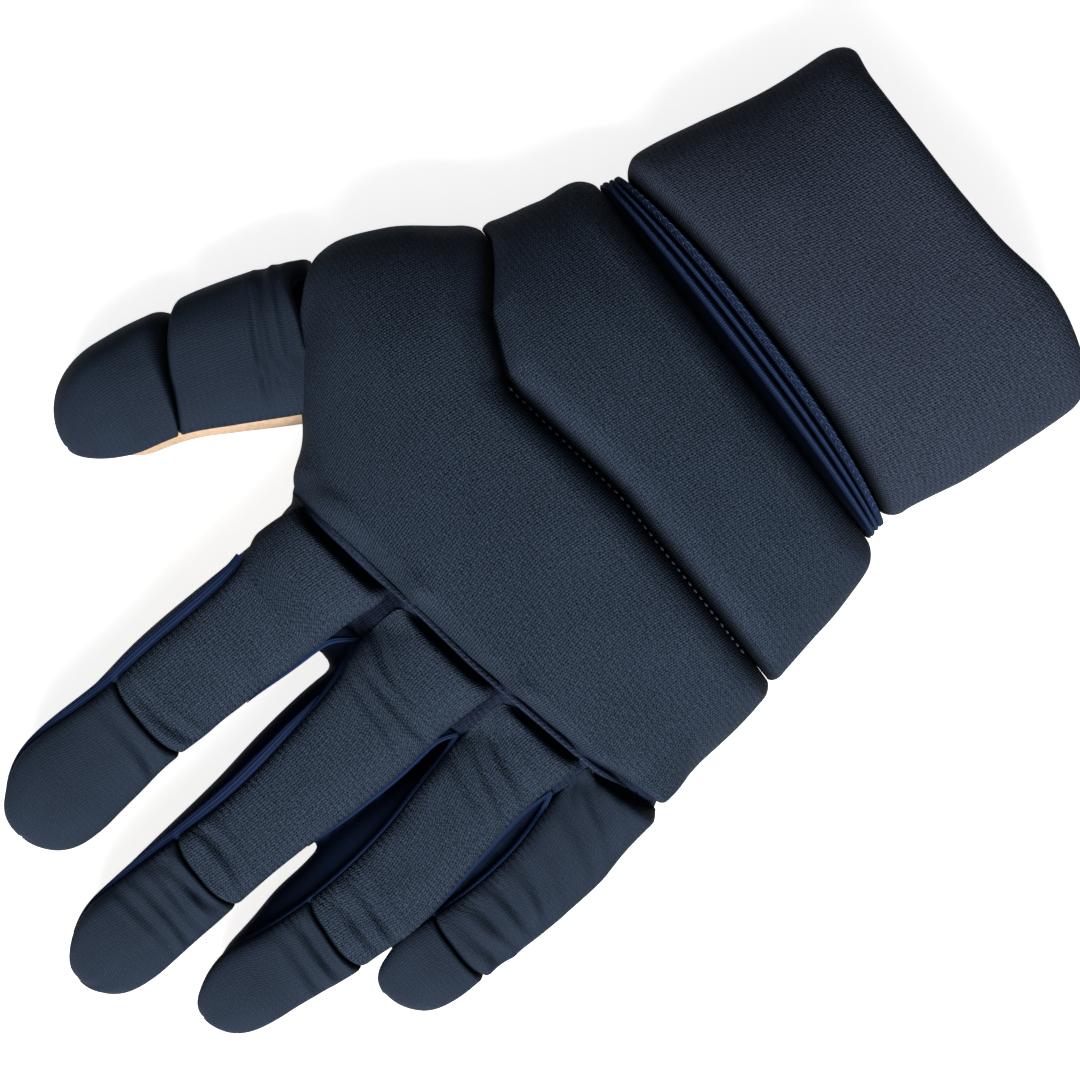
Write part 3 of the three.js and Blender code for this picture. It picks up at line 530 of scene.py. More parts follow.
class Graph:
    """A material's node tree, with a short name for each kind of node that it needs."""

    def __init__(self, name):
        self.material = bpy.data.materials.new(name)
        self.material.use_nodes = True
        self.tree = self.material.node_tree
        self.tree.nodes.clear()
        output = self.tree.nodes.new("ShaderNodeOutputMaterial")
        self.shader = self.tree.nodes.new("ShaderNodeBsdfPrincipled")
        self.tree.links.new(self.shader.outputs["BSDF"], output.inputs["Surface"])

    def node(self, kind, **inputs):
        made = self.tree.nodes.new(kind)
        for key, value in inputs.items():
            self.feed(made, key, value)
        return made

    def feed(self, node, key, value):
        target = node.inputs[int(key[1:])] if key[0] == "i" and key[1:].isdigit() else node.inputs[key]
        if isinstance(value, bpy.types.NodeSocket):
            self.tree.links.new(value, target)
        else:
            target.default_value = value

    def math(self, operation, a, b=0.0):
        made = self.node("ShaderNodeMath", i0=a, i1=b)
        made.operation = operation
        return made.outputs[0]

    def times(self, a, b):
        return self.math("MULTIPLY", a, b)

    def total(self, first, *weighted):
        """The first value and, added to it, each of the others times its weight."""
        for value, weight in weighted:
            first = self.math("ADD", first, self.times(value, weight))
        return first

    def uv(self):
        place = self.node("ShaderNodeUVMap").outputs["UV"]
        split = self.node("ShaderNodeSeparateXYZ", Vector=place)
        return place, split.outputs["X"], split.outputs["Y"]

    def mark(self, name):
        made = self.tree.nodes.new("ShaderNodeAttribute")
        made.attribute_name = name
        return made.outputs["Fac"]

    def local(self):
        return self.node("ShaderNodeTexCoord").outputs["Object"]

    def noise(self, place, scale, detail=2.0, rough=0.5):
        made = self.node("ShaderNodeTexNoise", Vector=place, Scale=scale, Detail=detail, Roughness=rough)
        return made.outputs[0]

    def mix(self, amount, low, high):
        made = self.tree.nodes.new("ShaderNodeMix")
        made.data_type = "RGBA"
        self.feed(made, "i0", amount)
        self.feed(made, "i6", srgb(*low))
        self.feed(made, "i7", srgb(*high))
        return made.outputs[2]

    def ramp(self, value, low, high):
        made = self.node("ShaderNodeMapRange", Value=value)
        made.inputs["From Min"].default_value = low
        made.inputs["From Max"].default_value = high
        made.clamp = True
        return made.outputs[0]

    def wave(self, value, period, shift=0.0):
        """A cosine wave from 0 to 1 of that period."""
        turned = self.total(shift, (value, 2 * math.pi / period))
        return self.total(0.5, (self.math("COSINE", turned), 0.5))

    def finish(self, colour, height, distance, roughness, **sockets):
        """Joins a colour, a bump height with its depth in metres, and a roughness to the shader."""
        bump = self.node("ShaderNodeBump", Strength=1.0, Distance=distance, Height=height)
        self.feed(self.shader, "Base Color", colour)
        self.feed(self.shader, "Normal", bump.outputs[0])
        self.feed(self.shader, "Roughness", roughness)
        for key, value in sockets.items():
            self.feed(self.shader, key.replace("_", " "), value)
        return self.material


def srgb(*channels):
    """A colour given as 0 to 255, as the shader's linear values."""
    shares = [c / 255 for c in channels]
    return (*(c / 12.92 if c <= 0.04045 else ((c + 0.055) / 1.055) ** 2.4 for c in shares), 1.0)


def knit(name, dark, light, contrast=1.0):
    """Fine knit over foam: wales along the piece, crossed by staggered rows of slightly uneven stitches."""
    g = Graph(name)
    place, u, v = g.uv()
    edge = g.mark("edge")
    jitter = g.times(g.math("SUBTRACT", g.noise(place, 0.9), 0.5), 7.0)
    drift = g.total(jitter, (g.noise(place, 0.12), 2.4))
    slope = g.total(drift, (u, math.pi / WALE))
    along = g.times(v, 2 * math.pi / ROW)
    rise = g.math("COSINE", g.math("ADD", slope, along))
    fall = g.math("COSINE", g.math("SUBTRACT", along, slope))
    yarn = g.total(g.wave(u, WALE, drift), (g.wave(v, ROW * 1.9, drift), 0.35), (rise, 0.28), (fall, 0.16))
    yarn = g.ramp(yarn, -0.45, 1.75)
    fuzz = g.noise(place, 1.25, 3.0, 0.75)
    grain = g.ramp(g.noise(place, 2.3, 2.0, 0.7), 0.3, 0.7)
    patchy = g.ramp(g.noise(place, 0.045), 0.3, 0.7)
    uneven = g.total(g.times(grain, 0.4), (g.ramp(fuzz, 0.25, 0.75), 0.5))
    stitch = g.total(g.times(uneven, 0.25), (yarn, g.math("ADD", 0.3, uneven)))
    ribs = g.times(g.ramp(g.wave(v, RIB, drift), -0.8, 0.8), edge)
    tone = g.total(0.5 - 0.5 * contrast, (stitch, 0.95 * contrast), (patchy, 0.07),
                   (g.math("SUBTRACT", ribs, edge), 0.4))
    # Painted shade: the colour darkens by up to 92 % where a piece is marked as lying in a seam or hollow.
    lit = g.total(1.0, (g.mark("painted_seam_shade"), -0.92))
    height = g.total(yarn, (fuzz, 0.5), (ribs, 1.5))
    depth = KNIT_DEPTH * (0.35 + 0.65 * contrast)
    return g.finish(g.mix(g.times(tone, lit), dark, light), height, depth, g.total(0.68, (patchy, 0.1)),
                    Specular_IOR_Level=0.04)


def stretch(name, dark, light, period, ribbed=0.4):
    """Thin stretch cloth with close fine ribs along it."""
    g = Graph(name)
    place, u, v = g.uv()
    rib = g.wave(u, period)
    cross = g.wave(v, period * 0.8)
    fuzz = g.noise(place, 1.8, 3.0, 0.6)
    tone = g.total(0.3 - 0.75 * ribbed, (rib, ribbed), (cross, ribbed / 2), (fuzz, 0.35))
    # Painted shade: the colour darkens by up to 90 % where a piece is marked as lying in a seam or hollow.
    lit = g.total(1.0, (g.mark("painted_seam_shade"), -0.9))
    return g.finish(g.mix(g.times(tone, lit), dark, light), g.total(rib, (cross, 0.5)), 0.00025 * ribbed,
                    g.total(0.6, (fuzz, 0.15)), Sheen_Weight=0.1, Sheen_Roughness=0.35,
                    Sheen_Tint=srgb(70, 110, 190), Specular_IOR_Level=0.03)


def leather(name, dark, light):
    """Soft palm leather: fine pores, faint wrinkles and uneven colour."""
    g = Graph(name)
    place = g.local()
    cells = g.node("ShaderNodeTexVoronoi", Vector=place, Scale=900.0)
    pores = g.ramp(cells.outputs["Distance"], 0.05, 0.6)
    wrinkle = g.noise(place, 240.0, 4.0, 0.6)
    patchy = g.noise(place, 28.0, 3.0, 0.55)
    tone = g.total(g.times(pores, 0.3), (g.ramp(patchy, 0.3, 0.7), 0.5), (wrinkle, 0.2))
    height = g.total(g.times(pores, 0.6), (wrinkle, 0.9))
    return g.finish(g.mix(tone, dark, light), height, 0.00025, g.total(0.55, (patchy, 0.25)),
                    Sheen_Weight=0.1, Specular_IOR_Level=0.35)


def thread(name, dark, light):
    """Twisted sewing thread."""
    g = Graph(name)
    place, u, v = g.uv()
    twist = g.wave(g.math("ADD", u, v), 0.35)
    return g.finish(g.mix(twist, dark, light), twist, 0.00006, 0.55,
                    Sheen_Weight=0.2, Specular_IOR_Level=0.35)


# the spacing of the knit's wales, rows and ribs in millimetres, and the depth of its bump in metres
WALE = 0.7
ROW = 0.76
RIB = 1.7
KNIT_DEPTH = 0.00018
NAVY = knit("navy_knit", (2, 3, 5), (60, 74, 93), 1.45)
NAVY_SMOOTH = knit("navy_smooth_knit", (2, 4, 6), (52, 64, 82), 0.5)
NAVY_CUFF = knit("navy_cuff_knit", (2, 3, 5), (66, 76, 95), 1.5)
# The back panel's navy, which shows in the slots and between the fingers' roots: partly its own darker
# cloth, partly painted shade darkening those hollows.
NAVY_BASE = knit("navy_base_knit", (2, 3, 7), (44, 55, 78), 0.8)
WELT = knit("navy_welt_knit", (3, 5, 9), (50, 62, 86), 0.8)
BLUE = stretch("blue_stretch", (2, 4, 9), (25, 37, 62), 0.55, 0.08)
PIPING = stretch("blue_piping", (5, 9, 20), (42, 62, 104), 0.5)
# A lighter copy of the blue side-panel cloth, for the wide rims beside the index and middle fingers:
# painted light that makes them look lit.
PANEL_PAINTED_LIT = stretch("blue_panel_painted_lit", (7, 11, 26), (44, 64, 106), 0.6)
ELASTIC = stretch("blue_elastic", (1, 3, 9), (56, 77, 118), 0.62)
LEATHER = leather("palm_leather", (176, 141, 108), (226, 197, 166))
THREAD = thread("navy_thread", (16, 24, 42), (54, 69, 102))
BLUE_THREAD = thread("blue_thread", (14, 26, 50), (60, 92, 140))


# The sewn shell under the pads: one skin over all the tubes, cut along its seams

def finger_tube(f):
    first = tip_start(f)
    nose = first + (1 - first) * np.sin(np.linspace(0.1, np.pi / 2, 9))
    stations = np.concatenate([[-ROOT_LENGTH / f.length], np.linspace(0, first, 40), nose])
    angles = np.linspace(0, 360, 60, endpoint=False)
    return closed_loft(finger_point(f, stations[:, None], angles[None, :]))


def hand_tube():
    stations = np.linspace(-57.5, 58, 90)
    angles = np.linspace(0, 360, 120, endpoint=False)
    angles = np.where(angles > 180, angles - 360, angles)
    return closed_loft(hand_point(stations[:, None], angles[None, :]))


def webs():
    for k in range(len(WEBS["across"])):
        across, along, long, wide, high = (WEBS[n][k] for n in ("across", "along", "long", "wide", "high"))
        turn = np.linspace(0, 2 * np.pi, 24, endpoint=False)[None, :]
        rise = np.linspace(0.06, np.pi - 0.06, 16)[:, None]
        x = across * HAND_WIDTH + wide * HAND_WIDTH * np.sin(rise) * np.cos(turn)
        y = along * PALM_LENGTH + long * PALM_LENGTH * np.sin(rise) * np.sin(turn)
        z = high * HAND_HEIGHT * (WEB_LIFT + np.cos(rise) / 2) + 0 * turn
        yield closed_loft(np.stack([x, y, z], -1))


def joined_skin():
    """The skin over all the tubes as one mesh, in millimetres."""
    lofts = [hand_tube(), *[finger_tube(f) for f in (*FINGERS, THUMB)], *webs()]
    points, faces, _ = merge_parts([(*loft, loft[0]) for loft in lofts])
    mesh = bpy.data.meshes.new("skin")
    mesh.from_pydata(points.tolist(), [], faces)
    holder = add_object("skin", mesh)
    remesh = holder.modifiers.new("remesh", "REMESH")
    remesh.mode = "VOXEL"
    remesh.voxel_size = VOXEL
    ease = holder.modifiers.new("ease", "SMOOTH")
    ease.factor = 0.5
    ease.iterations = 5
    made = applied(holder)
    bpy.data.objects.remove(holder)
    return made


def nearest_on(f, x, y):
    """Share along a finger's centre line, and the place across it in half widths, for points in plan."""
    line = f.line
    gap = (x[:, None] - line["x"][None]) ** 2 + (y[:, None] - line["y"][None]) ** 2
    i = gap.argmin(1)
    dx, dy = line["dx"][i], line["dy"][i]
    ox, oy = x - line["x"][i], y - line["y"][i]
    share = line["share"][i] + (ox * dx + oy * dy) / f.length
    return share, (ox * dy - oy * dx) / half_width(f, share)


def corners(mesh):
    points = np.zeros(len(mesh.vertices) * 3)
    mesh.vertices.foreach_get("co", points)
    return points.reshape(-1, 3)


def gather(points, faces):
    """The points that some faces use, and the faces numbered anew."""
    used, order = np.unique(faces, return_inverse=True)
    return points[used], order.reshape(faces.shape)


def slots(points):
    """Presses the cloth down at the foot of each finger's pad, where the photograph shows a dark slot."""
    x, y, z = points.T
    high = z > 12
    for f in FINGERS:
        share, u = nearest_on(f, x, y)
        far = f.slot[0] + f.slot[1] * 0.45
        d = (y - seam_y(KNUCKLE_SEAM, x) - far) / (f.slot[1] * 0.5)
        press = SLOT_DEPTH * np.exp(-d ** 4) * np.exp(-np.abs(u / 0.8) ** 6)
        z -= np.where(high & (share < 0.3), press, 0)


def beside(plan, line, longest=1.0):
    """How far along a line each place in plan lies, from 0 to longest, and its distance from the line."""
    start, way = np.array(line[:2]), np.array([line[2] - line[0], line[3] - line[1]])
    along = np.clip(((plan - start) @ way) / (way @ way), 0, longest)
    return along, np.linalg.norm(plan - start - along[:, None] * way, axis=1)


def thumb_gaps(points):
    """Presses the cloth down in the dark gaps at the foot of the thumb's pad and at its joint."""
    narrow = 0.8
    for line, depth, wide in (((65, 32.5, 82, 15.5), 8, 2.6), ((71, 63.4, 92.5, 48), 4.5, 2.8)):
        along, away = beside(points[:, :2], line, 1.1)
        d = away / (narrow + (wide - narrow) * along)
        points[:, 2] -= depth * np.exp(-d ** 4) * smooth(points[:, 2], 12, 20)


def between(points):
    """How near each place is, from 0 to 1, to the middle of the cloth between each two fingers' roots."""
    for line in ((0.5, 43, 1, 59), (-30, 38, -31.5, 54.5), (-52, 33, -56, 45)):
        d = beside(points[:, :2], line)[1] / 3.6
        yield np.exp(-d * d)


def valleys(points):
    """Fills the cloth between the fingers' roots, and draws it outwards beside the index finger."""
    x, y, z = points.T
    for near, lift in zip(between(points), (3.0, 3.0, 2.6)):
        z += np.where(z > 9, lift * near, 0)
    near = np.exp(-(((x - 37) / 6) ** 2 + ((y - 52) / 6) ** 2)) * smooth(z, 4, 12) * smooth(z, 34, 26)
    x += 2.6 * near
    y += 1.4 * near


def creases(points):
    """Folds across the palm leather under the fingers' joints."""
    x, y, z = points.T
    lift = np.zeros(len(points))
    for f in (*FINGERS, THUMB):
        share, u = nearest_on(f, x, y)
        inside = np.exp(-np.abs(u / 0.95) ** 8) * ((share > -0.1) & (share < 1))
        for at, depth in ((0.03, 1.0), (0.07, 0.6), (0.36, 1.0), (0.4, 0.7), (f.joint, 0.8)):
            d = ((share - at) * f.length + 0.8 * np.sin(3 * u + at * 30)) / 1.3
            lift += depth * inside * np.exp(-d * d)
    lift += 0.25 * (waves(x, y, 9, 71) + waves(x, y, 30, 72)) * smooth(z, 4, 0)
    z += np.where(z < 4, np.maximum(lift, 0) * smooth(z, 4, 1), 0)


def tree_of(points, mesh):
    return BVHTree.FromPolygons(points.tolist(), [tuple(p.vertices) for p in mesh.polygons])


SHELL = joined_skin()
SHELL_POINTS = corners(SHELL)
SHELL_POINTS[:, 2] = np.maximum(SHELL_POINTS[:, 2], 0)
valleys(SHELL_POINTS)
SHELL_TREE = tree_of(SHELL_POINTS, SHELL)


def height_on(tree, x, y):
    """Height of a surface's upper side at places in plan."""
    hits = [tree.ray_cast((a, b, 90), (0, 0, -1))[0] for a, b in zip(np.ravel(x), np.ravel(y))]
    return np.array([hit.z if hit else 0.0 for hit in hits]).reshape(np.shape(x))


def poke(points):
    """How far the shell stands above points that a plain tube gives."""
    lift = height_on(SHELL_TREE, points[..., 0], points[..., 1]) - points[..., 2]
    return np.clip(lift, 0, 8) * smooth(points[..., 2], 8, 16)


def owner(x, y, z):
    """The name of the sewn piece that each place of the shell belongs to."""
    name = np.where(z < LEATHER_HEIGHT, "palm", "back_panel").astype(object)
    shares, places = zip(*[nearest_on(f, x, y) for f in (*FINGERS, THUMB)])
    nearest = np.abs(places).argmin(0)
    sides = ["index_side", "index_middle_side", "middle_ring_side", "ring_little_side", "little_side"]
    for k, f in enumerate(FINGERS):
        share, u = shares[k], places[k]
        low, high = (power(np.sin(np.radians(e)), FINGER_POWER) for e in pad_edges(f, share))
        mine = (nearest == k) & (y > seam_y(CROTCH, x)) & (z >= LEATHER_HEIGHT) & (share <= 0.965)
        under = z < f.tip * 0.5
        name[mine & ((u < low + SIDE_LAP) | under) & (u < 0)] = sides[k + 1]
        name[mine & ((u > high - SIDE_LAP) | under) & (u > 0)] = sides[k]
    share, u = shares[4], places[4]
    edge = column(HAND, "along", "radial", y / PALM_LENGTH) * HAND_WIDTH
    mine = (nearest == 4) & (np.abs(u) < 1.12) & (share > 0.1) & (x > edge - 1.5)
    inner_side = -0.76 + 0.3 * smooth(share, 0.8, 1)
    outer_side = 0.9 * smooth(share, 0.2, 0.35)
    back = ((z > THUMB.tip * 0.7) & (u > inner_side)) | ((z > LEATHER_HEIGHT) & (u > outer_side))
    name[mine] = "thumb_palm"
    name[mine & back] = "thumb_back"
    return name


def sewn_pieces():
    """Cuts the shell along its seams into the palm, the back and the side panels."""
    points = SHELL_POINTS.copy()
    slots(points)
    thumb_gaps(points)
    creases(points)
    SHELL.vertices.foreach_set("co", points.ravel())
    bm = bmesh.new()
    bm.from_mesh(SHELL)
    bmesh.ops.bisect_plane(bm, geom=bm.verts[:] + bm.edges[:] + bm.faces[:],
                           plane_co=(0, 0, LEATHER_HEIGHT), plane_no=(0, 0, 1), dist=0.01)
    bmesh.ops.triangulate(bm, faces=bm.faces)
    bm.to_mesh(SHELL)
    bm.free()
    points = corners(SHELL)
    faces = np.zeros(len(SHELL.polygons) * 3, int)
    SHELL.polygons.foreach_get("vertices", faces)
    faces = faces.reshape(-1, 3)
    centre = points[faces].mean(1)
    names = owner(*centre.T)
    kept = centre[:, 1] > SHELL_END
    looks = {
        "palm": (LEATHER, "palm_leather"),
        "back": (NAVY_BASE, "navy_knit"),
        "side": (BLUE, "blue_stretch"),
    }
    for name in sorted(set(names)):
        material, slot = next(looks[kind] for kind in looks if kind in name)
        part, order = gather(points, faces[kept & (names == name)])
        x, y, z = part.T
        uv = np.stack([z, y + 0.3 * x], -1) if material is BLUE else part[:, :2]
        made = build(name, part, order, uv, material, slot)
        at_index = np.exp(-((x - 39) / 6) ** 2 - ((y - 52) / 9) ** 2)
        mark(made, "edge", np.minimum(sum(between(part)) + at_index, 1))
        thicken(made, LEATHER_THICK if material is LEATHER else CLOTH_THICK)
        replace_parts(made, name)


def thicken(made, millimetres):
    """Gives an open sheet its thickness, on its inner side."""
    solid = made.modifiers.new("thickness", "SOLIDIFY")
    solid.thickness = millimetres / 1000
    solid.offset = -1
    mesh = applied(made)
    made.modifiers.clear()
    made.data = mesh


sewn_pieces()


# Pads

def equal_angles(count, low, high, at):
    """Angles at which points of a section lie evenly spaced along it."""
    fine = np.linspace(low, high, 901)
    length = run(at(fine))
    return np.interp(np.linspace(0, length[-1], count), length, fine)


def lift_both(outside, inside, lift):
    outside[..., 2] += lift
    inside[..., 2] += lift


def back_pad(name, near, far, count, rows, rounds, seed, middle, dark):
    """A pad across the back of the hand between two seams. dark gives its painted shade towards its ends.
    """
    angles = equal_angles(count, -SIDE_WRAP, SIDE_WRAP, lambda a: hand_point(middle, a, BACK_PAD))
    low, high = near(angles)[:, None], far(angles)[:, None]
    v = np.linspace(0, 1, rows)
    v = v - 0.06 * np.sin(2 * np.pi * v)
    y = low + (high - low) * v[None]
    angle = np.broadcast_to(angles[:, None], y.shape)
    flat = hand_point(y, angle)
    full = BACK_PAD + (SIDE_PAD - BACK_PAD) * np.sin(np.radians(angle)) ** 2
    lower = np.radians(SIDE_WRAP - np.abs(angle)) * HAND_HEIGHT * 0.5
    from_near, to_far = y - low, high - y
    at_side = smooth(np.abs(angle), 50, 84)
    sharp = 1 - 0.6 * at_side
    (near_round, near_fall), (far_round, far_fall) = rounds
    near_rise = rounded(from_near, near_round * sharp) ** near_fall
    far_rise = rounded(to_far, far_round * sharp) ** far_fall
    rise = (1 - (1 - near_rise * far_rise) * (1 - 0.62 * at_side)) * rounded(lower, PAD_ROUND)
    unevenness = 0.4 * waves(flat[..., 0], y, 46, seed) + 0.14 * waves(flat[..., 0], y, 15, seed + 1)
    crown = 0.5 * (smooth(from_near, 0, 22) * smooth(to_far, 0, 22) - 0.4)
    thin = 1 - 0.5 * smooth(angle, 55, 85) * smooth(y, 34, 46)
    pad = PAD_EDGE + (full - PAD_EDGE + unevenness + crown) * rise * thin
    outside, inside = hand_point(y, angle, pad), hand_point(y, angle, -PAD_SUNK)
    lift_both(outside, inside, poke(flat))
    made = pad_piece(name, outside, inside, y, NAVY)
    # Painted shade: the colour darkens towards the pad's seam ends, as dark gives it.
    mark(made, "painted_seam_shade", dark(smooth(outside[..., 0], 22, 32), from_near, to_far))


# Each pad's last argument gives its painted shade: the knuckle pad's by the wrist seam, the wrist pad's by
# the wrist seam and by the band.
back_pad(
    "knuckle_pad",
    lambda a: seam_at(WRIST_SEAM, a, -12) + HALF_GAP, lambda a: seam_at(KNUCKLE_SEAM, a, 33),
    230, 92, ((8.5, 1.5), (5.2, 1.3)), 3, 15,
    lambda outer, near, far: smooth(near, 4.8 - 1.6 * outer, 0.5),
)
back_pad(
    "wrist_pad",
    lambda a: np.full(np.shape(a), PAD_END), lambda a: seam_at(WRIST_SEAM, a, -12) - HALF_GAP,
    200, 70, ((8, 1.3), (8.5, 1.5)), 11, -30,
    lambda outer, near, far: np.maximum(smooth(far, 3.6 - 2.4 * outer, 0.3), smooth(near, 2.4, 0)),
)


def root_at(f, angle):
    """The share at which a finger's pad starts, just past the knuckle seam."""
    share = np.zeros(np.shape(angle))
    for _ in range(6):
        point = finger_point(f, share, angle)
        seam = seam_y(KNUCKLE_SEAM, point[..., 0])
        share = share + (seam + 1.3 - point[..., 1]) / f.length
    return share


def folds_of(f, share, u):
    """How far the cloth sinks in a finger's folds, in millimetres."""
    sunk = 0
    for at, depth, width, slant in f.folds:
        d = ((share - at) * f.length + slant * u * 1.3 + 0.7 * np.sin(3 * u + at * 40)) / width
        across = np.exp(-((u - 0.35 * np.sin(at * 61)) / 0.68) ** 2) * smooth(np.abs(u), 0.92, 0.5)
        swell = 0.45 * np.exp(-((np.abs(d) - 2.0) / 0.8) ** 2)
        sunk = sunk + depth * across * (np.exp(-d * d) - swell)
    return sunk


def end_shape(distance, shape, u):
    """A pad's height towards one end, and the painted shade that darkens it there, from 0 to 1.

    The shape is a radius, a floor and the width of the painted shade, each a number or a function of u."""
    radius, floor, dark = (value(u) if callable(value) else value for value in shape)
    return floor + (1 - floor) * rounded(distance, radius), smooth(distance, dark, 0)


def finger_pad(f, name, start, end, ends, count, rows, seed, material=NAVY_SMOOTH):
    """A pad along a finger. start and end give the share at each place across it, from -1 to 1.

    Without an end it runs round the fingertip. ends are the shapes that end_shape takes."""
    edges = thumb_edges if f is THUMB else pad_edges
    centre = np.zeros(1)
    furthest = min(end(centre)[0], 0.9) if end else 0.9
    middle = 0.5 * (start(centre)[0] + furthest)
    low, high = (float(np.ravel(e)[0]) for e in edges(f, np.array([middle])))
    even = equal_angles(count, low, high, lambda a: finger_point(f, middle, a, FINGER_PAD))
    u = ((even - low) / (high - low) * 2 - 1)[:, None]
    v = np.linspace(0, 1, rows)[None]
    first = start(u)
    if end:
        last = end(u)
        share = first + (last - first) * v
    else:
        turn = tip_start(f)
        round_part = turn + (1 - turn) * np.sin((2 * v - 1) * np.pi / 2)
        share = np.where(v < 0.5, first + (turn - first) * 2 * v, round_part)
    u = np.broadcast_to(u, share.shape)
    low, high = edges(f, share)
    angle = low + (high - low) * (u + 1) / 2
    side = np.radians(np.maximum(np.minimum(angle - low, high - angle), 0)) * half_width(f, share)
    height, painted_shade = end_shape(np.maximum(share - first, 0) * f.length, ends[0], u)
    rise = rounded(side, FINGER_ROUND + 3.5 * smooth(share, 0.26, 0.08)) * height
    if end:
        height, more = end_shape(np.maximum(last - share, 0) * f.length, ends[1], u)
        rise, painted_shade = rise * height, np.maximum(painted_shade, more)
    along = share * f.length
    sink = 2.9 * folds_of(f, share, u) + 0.16 * waves(u * f.width, along, 17, seed)
    pad = PAD_EDGE + (FINGER_PAD - PAD_EDGE - sink) * rise
    outside = finger_point(f, share, angle, pad)
    inside = finger_point(f, share, angle, np.minimum(-PAD_SUNK, pad - 0.8))
    if f is not THUMB:
        lift_both(outside, inside, poke(finger_point(f, share, angle)) * smooth(share, 0.35, 0.2))
    made = pad_piece(name, outside, inside, along, material)
    mark(made, "edge", smooth(side, 4.5, 1.5) * smooth(share, 0.95, 0.7))
    # Painted shade: the colour darkens towards the pad's ends, by the joint, the slot or the next pad.
    mark(made, "painted_seam_shade", painted_shade)
    f.surface.append((outside, share))


def joint_line(f, offset):
    return lambda u: f.joint + 0.025 * (1 - u * u) + offset / f.length


def pad_base(f):
    """The line at which a finger's pad starts, past the slot at its foot."""
    def base(u):
        low, high = pad_edges(f, 0)
        slot = (f.slot[0] + f.slot[1] * 0.75 - 1) * (1 - np.abs(u) ** 3.2)
        return root_at(f, low + (high - low) * (u + 1) / 2) + slot / f.length
    return base


for number, f in enumerate(FINGERS):
    name = f.name
    finger_pad(f, name + "_pad", pad_base(f), joint_line(f, -HALF_GAP), ((2.6, 0, 1.0), (1.5, 0.5, 0.7)),
               66, int(f.length * 0.95), 20 + number, NAVY_SMOOTH if f is LITTLE else NAVY)
    finger_pad(f, name + "_tip_pad", joint_line(f, HALF_GAP), None, ((1.4, 0.4, 0.7),), 66, 76, 40 + number)


def thumb_edges(f, share):
    low = float(angle_at(np.array([-0.8]))[0])
    return np.full(np.shape(share), low), np.full(np.shape(share), THUMB_WRAP)


def thumb_start(u):
    """The thumb's pad starts under the knuckle pad, but stands off from it on the outer side."""
    outer = 0.062 * smooth(u, 0.3, 0.95)
    inner = 0.12 * smooth(u, -0.36, -0.5)
    return 0.362 + 0.012 * smooth(u, -0.2, 0.25) - outer - inner


def thumb_joint(millimetres):
    """The line of the thumb's joint, moved by some millimetres towards the tip."""
    return lambda u: THUMB.joint + 0.035 - 0.055 * u + millimetres / THUMB.length


def opened(least, more):
    """A number that grows across the thumb's joint, from its closed inner side to its open outer side."""
    return lambda u: least + more * smooth(u, -0.85, 0.3)


finger_pad(
    THUMB, "thumb_pad", thumb_start, thumb_joint(-HALF_GAP),
    ((lambda u: 0.3 + 2.2 * smooth(u, -0.42, 0) * smooth(u, 0.95, 0.55), 0, 1.6),
     (opened(0.8, 1.8), opened(0, -0.5), opened(0.5, 1.2))),
    86, 90, 61,
)
finger_pad(
    THUMB, "thumb_tip_pad", thumb_joint(HALF_GAP), None,
    ((opened(0.8, 4.2), opened(0, -0.9), opened(0.6, 5.6)),),
    86, 104, 63,
)


# Cuff and elastic band

def band_end(angle):
    """Where the elastic band ends at each angle round the wrist."""
    return BAND_START - BAND_WIDTH - BAND_BOW * np.maximum(0, np.cos(np.radians(angle))) ** 2


def band_point(y, angle, grow):
    """A point round the wrist, lifted outwards by grow and kept above the floor."""
    clamped = np.maximum(y, WRIST_END)
    point = hand_point(clamped, angle, grow)
    _, up = outline(angle, HAND_POWER)
    under = hand_point(clamped, angle)[..., 2] + np.maximum(up * 1.2, -1) * grow
    point[..., 2] = np.maximum(np.where(up < 0, under, point[..., 2]), FLOOR_GAP)
    point[..., 1] = y
    return point


def cuff_point(y, angle, inward):
    """A point on the cuff, moved inwards from its outer side."""
    along = (WRIST_END - y) / CUFF_LENGTH
    crest, half, level, top = section(CUFF, along, angle, CUFF_WIDTH, CUFF_HEIGHT)
    across, up = outline(angle, HAND_POWER)
    rise = top - level - inward
    fall = level * (1 + FLAT_SHARE) - inward
    z = np.maximum(level + up * np.where(up > 0, rise, fall), inward)
    return np.stack([crest + across * (half - inward), y, z], -1)


def cuff_profile(angles):
    """The cuff's section: a rolled lip, and a foot and tongue that reach under the elastic band."""
    angle = angles[:, None]
    start = band_end(angle) - 0.3
    end = WRIST_END - column(RIM, "angle", "along", angle) * CUFF_LENGTH
    end = end + 1.3 * smooth(angle, -25, 10) * smooth(angle, 80, 50)
    v = (1 - np.cos(np.linspace(0, np.pi, 76)))[None] / 2
    near, far = v * CUFF_LENGTH, (1 - v) * CUFF_LENGTH
    lip = np.maximum(rounded(far, CUFF_ROUND * 0.75), 0.1)
    foot = rounded(near, CUFF_ROUND * 0.5)[..., None]
    tongue = smooth(near, 7, 0)
    y = start + (end - start) * v
    uneven = 0.35 * waves(angle * 0.9, y, 34, 91) + 0.12 * waves(angle * 0.9, y, 12, 92)
    outer = cuff_point(y, angle, CUFF_WALL / 2 * (1 - lip) + 0.3 - 0.3 * uneven)
    outer = outer * foot + band_point(y, angle, 0.2) * (1 - foot)
    inner = cuff_point(y, angle, CUFF_WALL / 2 * (1 + 0.96 * lip))
    under_band = band_point(y + 1.2 * tongue, angle, 0.0)
    inner = inner + (under_band - inner) * tongue[..., None]
    # Painted shade: the colour darkens along the cuff's near end, next to the band.
    painted_shade = smooth(near, 2.8, 0.2) + 0 * angle
    return np.concatenate([outer, inner[:, ::-1]], 1), np.concatenate([painted_shade, 0 * painted_shade], 1)


cuff = ring_piece("cuff", cuff_profile, 260, NAVY_CUFF, "navy_knit")
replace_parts(cuff, "cuff")


